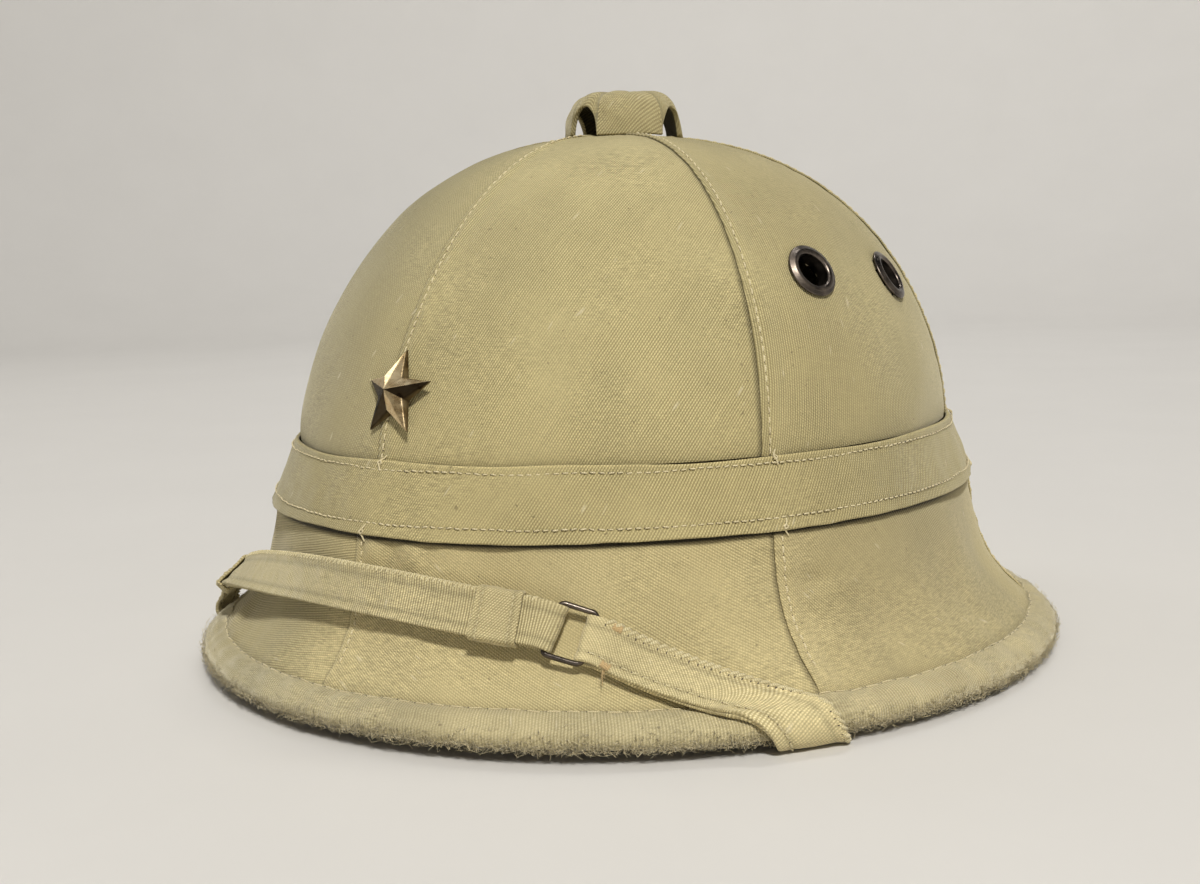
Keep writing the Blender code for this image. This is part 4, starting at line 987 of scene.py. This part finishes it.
class Route:
    """A strap's route by way: azimuth, drop, stand-off, directions and lean at each station."""

    def __init__(self, rows):
        self.rows = rows
        place = np.arange(10 * (len(rows) - 1) + 1) / 10
        value = curve_through(rows, place)
        full = skin(value[:, 0])[2]
        scale = rim_scale(value[:, 0], value[:, 1] * full, value[:, 2] * BOW)
        run = np.hypot(np.diff(value[:, 0]) * scale[1:], np.diff(value[:, 1]) * full[1:])
        self.place, self.way, self.azimuth = place, np.concatenate([[0], run.cumsum()]), value[:, 0]

    def at(self, way):
        place = np.interp(way, self.way, self.place)
        value = curve_through(self.rows, place)
        full = skin(value[:, 0])[2]
        az, drop, height = value[:, 0], value[:, 1] * full, value[:, 2] * BOW
        scale = rim_scale(az, drop, height)
        low, high = np.maximum(place - 0.05, 0), np.minimum(place + 0.05, len(self.rows) - 1)
        a, b = curve_through(self.rows, low), curve_through(self.rows, high)
        run = unit(np.stack([(b[:, 0] - a[:, 0]) * scale, (b[:, 1] - a[:, 1]) * full], -1))
        square_to = np.stack([-run[:, 1], run[:, 0]], -1)
        square_to *= np.where(square_to[:, 1:] < 0, -1, 1)
        skew = np.clip(value[:, 4:5], 0, 1)
        rimward = np.stack([np.sign(square_to[:, 0]), 0 * az], -1)
        cross = unit(square_to * (1 - skew) + rimward * skew)
        cross /= (cross * square_to).sum(-1, keepdims=True)
        return dict(azimuth=az, drop=drop, height=height, scale=scale, run=run, cross=cross,
                    lean=np.tan(np.radians(value[:, 3])))

    def way_to(self, azimuth):
        return self.way[np.abs(self.azimuth - azimuth).argmin()]


def strap_place(at, ahead, across, height, floor=0.0):
    """Points of shape (stations, across) off the brim."""
    shift = at["run"][:, None] * ahead[..., None] + at["cross"][:, None] * across[..., None]
    az = at["azimuth"][:, None] + shift[..., 0] / at["scale"][:, None]
    point = on_skin(az, at["drop"][:, None] + shift[..., 1], height + at["lean"][:, None] * across)
    point[..., 2] = np.maximum(point[..., 2], floor)
    return point


def layer_pitch(way):
    share = np.clip((way - WIRE) / 0.008, 0, 1)
    return 2 * FOLD_R + (CLOTH_T + GAP - 2 * FOLD_R) * share * share * (3 - 2 * share)


def blur(points, sigma):
    """Smooths rows along the first axis, with the end rows repeated beyond both ends."""
    reach_rows = int(sigma * 3) + 1
    kernel = np.exp(-0.5 * (np.arange(-reach_rows, reach_rows + 1) / sigma) ** 2)
    kernel /= kernel.sum()
    padded = np.concatenate([np.repeat(points[:1], reach_rows, 0), points,
                             np.repeat(points[-1:], reach_rows, 0)])
    return sum(kernel[k] * padded[k:k + len(points)] for k in range(len(kernel)))


ACROSS = np.linspace(-STRAP_W / 2, STRAP_W / 2, 23)


def strap_surface(route, tail_end):
    """The middle surface of the doubled strap: outer layer, fold round the ring's bar and inner layer."""
    ways = np.arange(0, route.way[-1], STRAP_STEP)
    at = route.at(ways)
    grid = np.zeros((len(ways), len(ACROSS)))
    outer = strap_place(at, grid, grid + ACROSS, grid + at["height"][:, None], CLOTH_T / 2)
    pitch = layer_pitch(ways)
    inner = strap_place(at, grid, grid + ACROSS, at["height"][:, None] - pitch[:, None] + grid,
                        1.5 * CLOTH_T + GAP)
    first = {key: value[:1] for key, value in at.items()}
    row, bar = np.zeros((1, len(ACROSS))), first["height"][0] - FOLD_R
    fold = [strap_place(first, row - math.sin(a) * FOLD_R, ACROSS[None], row + bar + FOLD_R * math.cos(a))[0]
            for a in np.linspace(0, np.pi, 16)[1:-1]]
    outer, inner = blur(outer, 2.2), blur(inner, 2.2)
    keep = at["azimuth"] >= tail_end if tail_end is not None else np.ones(len(ways), bool)
    return outer, np.array(fold), inner[keep], ways


def frames(mid):
    along = np.gradient(mid, axis=0)
    across = np.gradient(mid, axis=1)
    return unit(np.cross(along, across)), unit(across)


def make_strap(name, node, route, tail_end, turn, seed, edge_thick):
    outer, fold, inner, ways = strap_surface(route, tail_end)
    mid = np.concatenate([outer[::-1], fold, inner])
    normal, across = frames(mid)
    way = lengths(mid[:, len(ACROSS) // 2])
    half = CLOTH_T / 2
    inset = STRAP_W / 2 - np.abs(ACROSS)[None]
    rib = waves(way[:, None], ACROSS[None] / (STRAP_W / 2) * 0.006, 0.006, seed) * 0.00010
    groove = -0.00016 * bell(inset - SEAM_INSET, 0.0006)
    thick = half + rib + groove + edge_thick * bell(inset - 0.0004, 0.0007)
    top = mid + normal * thick[..., None]
    low = mid - normal * thick[..., None]

    def bulge(column, out, angles):
        """The rounded edge of the cloth, turn by turn."""
        at, up, away, deep = (table[:, column] for table in (mid, normal, across, thick[..., None]))
        return np.stack([at + up * deep * math.sin(a) + away * out * math.cos(a)
                         for a in np.radians(angles)], 1)

    angles = np.linspace(60, -60, 5)
    right, left = bulge(-1, 0.00045, angles), bulge(0, -0.00045, angles[::-1])
    loop = np.concatenate([top, right, low[:, ::-1], left], 1)
    first, last = loop[:1].mean(1, keepdims=True), loop[-1:].mean(1, keepdims=True)
    loop = np.concatenate([first * 0.85 + loop[:1] * 0.15, loop, last * 0.85 + loop[-1:] * 0.15])
    way = np.concatenate([way[:1], way, way[-1:]])
    position = np.concatenate([ACROSS, np.full(5, STRAP_W / 2 + 0.0004), ACROSS[::-1],
                               np.full(5, -STRAP_W / 2 - 0.0004)])
    uv = turned(np.stack(np.broadcast_arrays(way[:, None], position[None]), -1), turn)
    # darker along the stitch grooves near both edges: painted shade
    near_edge = bell(np.abs(position) - STRAP_W / 2 + SEAM_INSET, 0.0007)
    tone = (1 - 0.26 * near_edge)[None] * (1 + 0.05 * waves(way[:, None], 0.0, 0.03, seed + 1))
    parts = Parts()
    parts.grid(loop, uv, tone, wrap_cols=True)
    piece = parts.build(name, STRAP_CLOTH if turn == 0 else SHORT_CLOTH, "strap_cloth")
    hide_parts(node)
    return outer, ways


def strap_stitches(outer, ways, rows, seed, length, gap, radius, skip=(), pits=None):
    parts = Parts()
    normal, _ = frames(outer)
    for number, offset in enumerate(rows):
        column = int(round((offset + STRAP_W / 2) / STRAP_W * (len(ACROSS) - 1)))
        n = -normal[:, column]
        path = outer[:, column] + n * (CLOTH_T / 2 - 0.00006)
        clear = np.ones(len(path), bool)
        for a, b in skip:
            clear &= (ways < a) | (ways > b)
        stitch_row(parts, path, n, length, gap, radius, seed=seed + number, clear=clear, pits=pits)
    return parts


def whip_stitches(parts, pits, outer, side, seed, pitch=0.0022, start=0.004, radius=0.00048):
    """Slanted threads wound over one edge of the strap."""
    r = np.random.default_rng(seed)
    normal, across = frames(outer)
    normal = -normal
    column = 0 if side < 0 else -1
    way = lengths(outer[:, column])
    at = np.arange(start, way[-1] - 0.004, pitch)
    at = at + r.normal(0, pitch * 0.12, len(at))
    get = lambda table, shift: on_path(table[:, column], way, at + shift)
    lean = pitch * 1.25
    # share of the lean, way out of the edge and height above it
    winding = ((-1, -0.00085, 0.00050), (-0.6, -0.0003, 0.00080), (0, 0.00042, 0.00045),
               (0.6, 0.0004, -0.0005), (1, -0.0006, -0.0008))
    n, a = get(normal, 0), get(across, 0) * (1 if side > 0 else -1)
    points = [get(outer, s * lean * 0.5) + a * out + n * up for s, out, up in winding]
    centre = np.stack(points, 1)
    along = unit(np.gradient(centre, axis=1))
    helper = unit(np.stack([get(outer, 0.0004) - get(outer, -0.0004)] * 5, 1))
    side_v = unit(helper - (helper * along).sum(-1, keepdims=True) * along)
    threads(parts, centre, side_v, np.cross(along, side_v), radius * np.array([0.55, 1, 1.15, 1, 0.6]),
            seed, 7)
    # dark threads at each stitch's foot: painted shade of the needle holes
    foot = centre[:, :1] - a[:, None] * radius * np.array([0.2, 0.9, 1.6])[:, None]
    shape = np.ones((1, 3, 1))
    threads(pits, foot, side_v[:, :1] * shape, n[:, None] * shape, radius * np.array([0.4, 0.65, 0.4]),
            seed + 1, 6)


def bar_tack(parts, outer, way, low, high, seed):
    """A bundle of threads sewn over the strap's edge, with a frayed end."""
    r = np.random.default_rng(seed)
    normal, across = frames(outer)
    row = int(way / STRAP_STEP)
    edge, middle, count = 1, len(ACROSS) // 2, 9
    n, a = -normal[row, edge], across[row, edge]
    along = unit(outer[row + 1, middle] - outer[row - 1, middle])
    shift = np.linspace(-0.0011, 0.0011, count) + r.normal(0, 0.00010, count)
    spots = np.linspace(low, high, 6)
    lift = np.array([-0.0004, 0.0007, 0.00085, 0.00085, 0.0007, -0.0004])
    centre = (on_path(outer[row], ACROSS, spots) + n * lift[:, None] + along * shift[:, None, None]
              + a * r.normal(0, 0.00012, (count, 6, 1)))
    shape = np.ones((count, 6, 1))
    threads(parts, centre, along * shape, n * shape, 0.00024 * np.array([0.6, 1, 1, 1, 1, 0.6]), seed, 6)
    end = centre[4, -1]
    for k in range(5):
        away = a * (0.0006 * k - 0.0004) + along * r.normal(0, 0.0009)
        last = end + n * 0.0002 + away * 1.7 - np.array([0, 0, 0.0008])
        tube(parts, [end, end + n * 0.0008 + away * 0.4, end + n * 0.0007 + away, last], 0.00009)


def make_keeper(name, node, route, azimuth, seed):
    middle = route.way_to(azimuth)
    length, half_cloth, gap, stitch_inset = 0.0130, 0.0005, 0.00045, 0.0020
    tip, flat, bend = 0.0005, length / 2 - 0.0005, np.linspace(1.2, -1.2, 5)
    section = [(x, half_cloth) for x in np.linspace(-flat, flat, 22)]
    section += [(flat + tip * math.cos(a), half_cloth * math.sin(a)) for a in bend]
    section += [(x, -half_cloth) for x in np.linspace(flat, -flat, 22)]
    section += [(-flat - tip * math.cos(a), half_cloth * math.sin(a)) for a in -bend]
    section = np.array(section)
    ways = middle + section[:, 0]
    at = route.at(ways)
    pitch = layer_pitch(ways)
    top = at["height"] + CLOTH_T / 2 + gap + half_cloth
    bottom = at["height"] - pitch - CLOTH_T / 2 - gap - half_cloth
    side = STRAP_W / 2 + gap + half_cloth
    corner = 0.0009
    outline = []
    for quarter, (sx, sy) in enumerate(((1, 1), (-1, 1), (-1, -1), (1, -1))):
        for a in np.radians(quarter * 90 + np.linspace(0, 90, 7)):
            outline.append((sx * (side - corner), sy, math.cos(a), math.sin(a)))
        if quarter in (0, 2):
            for share in np.linspace(0, 1, 14)[1:-1]:
                x = (side - corner) * (1 - 2 * share) * sx
                outline.append((x, sy, 0.0, float(sy)))
    rows = []
    for x, sy, nx, ny in outline:
        offset = (section[:, 1] + 0.00012 * waves(section[:, 0], np.full(len(section), x), 0.006, seed)
                  * (section[:, 1] > 0))
        level = (np.where(sy > 0, top - corner, bottom + corner) + ny * (corner + offset)
                 + 0.00025 * (ny > 0.9) * np.cos(x / side * 1.5))
        across = x + nx * (corner + offset)
        rows.append(strap_place(at, np.zeros((len(ways), 1)), across[:, None], level[:, None])[:, 0])
    points = np.array(rows)
    round_way = lengths(np.concatenate([points, points[:1]]))[:, :1]
    uv = turned(np.stack(np.broadcast_arrays(section[None, :, 0], round_way), -1), 38)
    edge = bell(np.abs(section[:, 0]) - length / 2 + stitch_inset, 0.0006)
    tone = (0.86 - 0.20 * edge)[None] * np.ones((len(points) + 1, 1))
    parts = Parts()
    parts.grid(np.concatenate([points, points[:1]]), uv, tone, wrap_cols=True)
    piece = parts.build(name, SHORT_CLOTH, "strap_cloth")
    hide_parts(node)
    stitches = Parts()
    for place in (-length / 2 + stitch_inset, length / 2 - stitch_inset):
        column = int(np.abs(section[:22, 0] - place).argmin())
        visible = [k for k, row in enumerate(outline) if row[1] > 0]
        path = points[visible, column]
        inside = points[visible, len(section) - 6 - column]
        n = unit(path - inside)
        stitch_row(stitches, path - n * 0.00005, n, 0.0014, 0.0006, 0.00016, seed=seed + column)
    stitches.build(name + "_stitches", STRAP_THREAD, "strap_cloth")


def make_ring():
    full = float(skin(RING_AZ)[2])
    slant = math.radians(RING_SLANT)
    run = np.array([[math.cos(slant), math.sin(slant)]])
    cross = np.array([[-math.sin(slant), math.cos(slant)]])
    half_run, half_cross, corner = BARS / 2, STRAP_W / 2 + GAP + WIRE / 2, 0.0015
    path = []
    for quarter, (sx, sy) in enumerate(((1, 1), (-1, 1), (-1, -1), (1, -1))):
        middle = np.array([sx * (half_run - corner), sy * (half_cross - corner)])
        turns = np.radians(quarter * 90 + np.linspace(0, 90, 9))
        path += [middle + corner * np.array([math.cos(a), math.sin(a)]) for a in turns]
        start, end = path[-1], [(-half_run + corner, half_cross), (-half_run, -half_cross + corner),
                                (half_run - corner, -half_cross), (half_run, half_cross - corner)][quarter]
        path += [start * (1 - share) + np.array(end) * share for share in np.linspace(0, 1, 12)[1:-1]]
    path = np.array(path)
    count = len(path)
    at = dict(azimuth=np.full(count, RING_AZ), drop=np.full(count, RING_DROP * full),
              run=np.repeat(run, count, 0), cross=np.repeat(cross, count, 0), lean=np.zeros(count),
              scale=np.full(count, float(rim_scale(RING_AZ, RING_DROP * full, RING_H))))
    along = unit(np.roll(path, -1, 0) - np.roll(path, 1, 0))
    out = np.stack([along[:, 1], -along[:, 0]], -1)
    roll = circle(14)
    ahead = path[:, :1] + out[:, :1] * np.cos(roll) * WIRE / 2
    across = path[:, 1:] + out[:, 1:] * np.cos(roll) * WIRE / 2
    height = RING_H + WIRE / 2 * np.sin(roll) + 0 * ahead
    points = strap_place(at, ahead, across, height)
    parts = Parts()
    parts.grid(points, wrap_rows=True, wrap_cols=True, flip=True)
    piece = parts.build("ring", GUNMETAL, "gunmetal")
    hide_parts("strap_ring")


def make_chin_strap():
    pits = Parts()
    long_route, short_route = Route(full_route(-1, LONG_ROUTE)), Route(full_route(1, SHORT_ROUTE))
    outer, ways = make_strap("long_strap_cloth", "strap_long", long_route, -44.5, 0, 81, 0.00012)
    skip = [(way - KEEPER_REACH, way + KEEPER_REACH)
            for way in map(long_route.way_to, (LEFT_KEEPER, RIGHT_KEEPER))]
    parts = strap_stitches(outer, ways, (-STITCH_AT, STITCH_AT), 811, 0.0018, 0.0008, 0.00030, skip, pits)
    whip_stitches(parts, pits, outer, -1, 821, 0.0017, 0.006, radius=0.00034)
    parts.build("long_strap_stitches", STRAP_THREAD, "strap_cloth")
    outer, ways = make_strap("short_strap_cloth", "strap_short", short_route, None, 40, 91, 0.00016)
    parts = strap_stitches(outer, ways, (STITCH_AT,), 911, 0.0019, 0.0012, 0.00024, pits=pits)
    whip_stitches(parts, pits, outer, -1, 921)
    pits.build("strap_needle_holes", PIT, "strap_cloth")
    parts.build("short_strap_stitches", STRAP_THREAD, "strap_cloth")
    tacks = Parts()
    bar_tack(tacks, outer, 0.0055, -0.0074, -0.0044, 931)
    bar_tack(tacks, outer, 0.0078, 0.0044, 0.0074, 932)
    tacks.build("bar_tacks", TACK_THREAD, "strap_cloth")
    make_keeper("left_keeper_cloth", "keeper_left", long_route, LEFT_KEEPER, 101)
    make_keeper("right_keeper_cloth", "keeper_right", long_route, RIGHT_KEEPER, 111)
    make_ring()


# ---------------------------------------------------------------- camera, light and floor
def make_camera():
    yaw = math.radians(CAMERA_YAW)
    front = Vector((math.sin(yaw), -math.cos(yaw), 0))
    left = Vector((math.cos(yaw), math.sin(yaw), 0))
    to_cad = lambda v: Vector((v.dot(left), -v.dot(front), v.z))
    pitch, roll = math.radians(CAMERA_PITCH), math.radians(CAMERA_ROLL)
    ahead = Vector((0, math.cos(pitch), -math.sin(pitch)))
    right = Vector((1, 0, 0))
    up = right.cross(ahead)
    r = right * math.cos(roll) + up * math.sin(roll)
    u = -right * math.sin(roll) + up * math.cos(roll)
    axes = [to_cad(r), to_cad(u), -to_cad(ahead)]
    matrix = Matrix([[axes[c][k] for c in range(3)] + [CAMERA_AT[k]] for k in range(3)] + [[0, 0, 0, 1]])
    data = bpy.data.cameras.new("camera")
    data.lens, data.sensor_width, data.clip_start = CAMERA_LENS, 36.0, 0.02
    camera = bpy.data.objects.new("camera", data)
    camera.matrix_world = matrix
    bpy.context.scene.collection.objects.link(camera)
    bpy.context.scene.camera = camera


def area_light(name, at, target, size, power, colour):
    data = bpy.data.lights.new(name, "AREA")
    data.size, data.energy, data.color = size, power, colour
    light = bpy.data.objects.new(name, data)
    light.location = at
    light.rotation_euler = (Vector(target) - Vector(at)).to_track_quat("-Z", "Y").to_euler()
    bpy.context.scene.collection.objects.link(light)


# The lights: name, place, aim, size, power and colour
LIGHTS = (("key", (1.12, -1.08, 1.86), (0.0, 0.0, 0.08), 0.26, 46.5, (1.0, 0.975, 0.93)),
          ("ceiling", (0.25, -0.50, 2.30), (0.0, 0.0, 0.05), 0.7, 2.2, (1.0, 0.98, 0.94)),
          ("backdrop_light", (-0.20, 1.00, 2.40), (-1.40, 2.20, 0.9), 0.9, 31.0, (1.0, 0.99, 0.97)),
          ("side_window", (-1.80, -0.21, 1.35), (0.0, -0.12, 0.09), 0.62, 3.6, (1.0, 0.97, 0.90)),
          ("soft_panel", (-0.84, -0.78, 2.02), (0.0, -0.12, 0.09), 1.2, 2.2, (1.0, 0.98, 0.95)))


def make_studio():
    world = bpy.data.worlds.new("studio")
    world.use_nodes = True
    world.node_tree.nodes["Background"].inputs["Color"].default_value = (0.92, 0.95, 1.0, 1)
    world.node_tree.nodes["Background"].inputs["Strength"].default_value = 0.06
    bpy.context.scene.world = world
    for light in LIGHTS:
        area_light(*light)
    look = Nodes("pale_floor")
    colour = look.mix(look.noise(look.place(), 7.0, 4.0, 0.6), (0.645, 0.63, 0.605, 1),
                      (0.685, 0.67, 0.645, 1))
    look.shade(Base_Color=colour, Roughness=0.8)
    flat, fillet, floor_z, sides = 1.9, 0.9, -0.0001, 96
    rows = [(r, floor_z) for r in (0.0, 0.3, 0.8, 1.4, flat)]
    rows += [(flat + fillet * math.sin(a), floor_z + fillet * (1 - math.cos(a)))
             for a in np.linspace(0.1, math.pi / 2, 14)]
    rows += [(flat + fillet, 2.2)]
    points = [(r * math.sin(t), -r * math.cos(t), z) for r, z in rows for t in circle(sides)]
    mesh = bpy.data.meshes.new("floor")
    mesh.from_pydata(points, [], grid_faces(len(rows), sides, wrap_cols=True)[:, ::-1].tolist())
    mesh.shade_smooth()
    mesh.materials.append(look.mat)
    obj = bpy.data.objects.new("floor", mesh)
    bpy.context.scene.collection.objects.link(obj)
    bpy.context.scene.view_settings.view_transform = "Standard"


make_crown_cloth()
make_brim_cloth()
make_brim_edge()
make_hatband()
make_stitches()
make_loose_threads()
make_rim_fuzz()
make_cap()
make_eyelets()
make_star()
make_chin_strap()
make_camera()
make_studio()
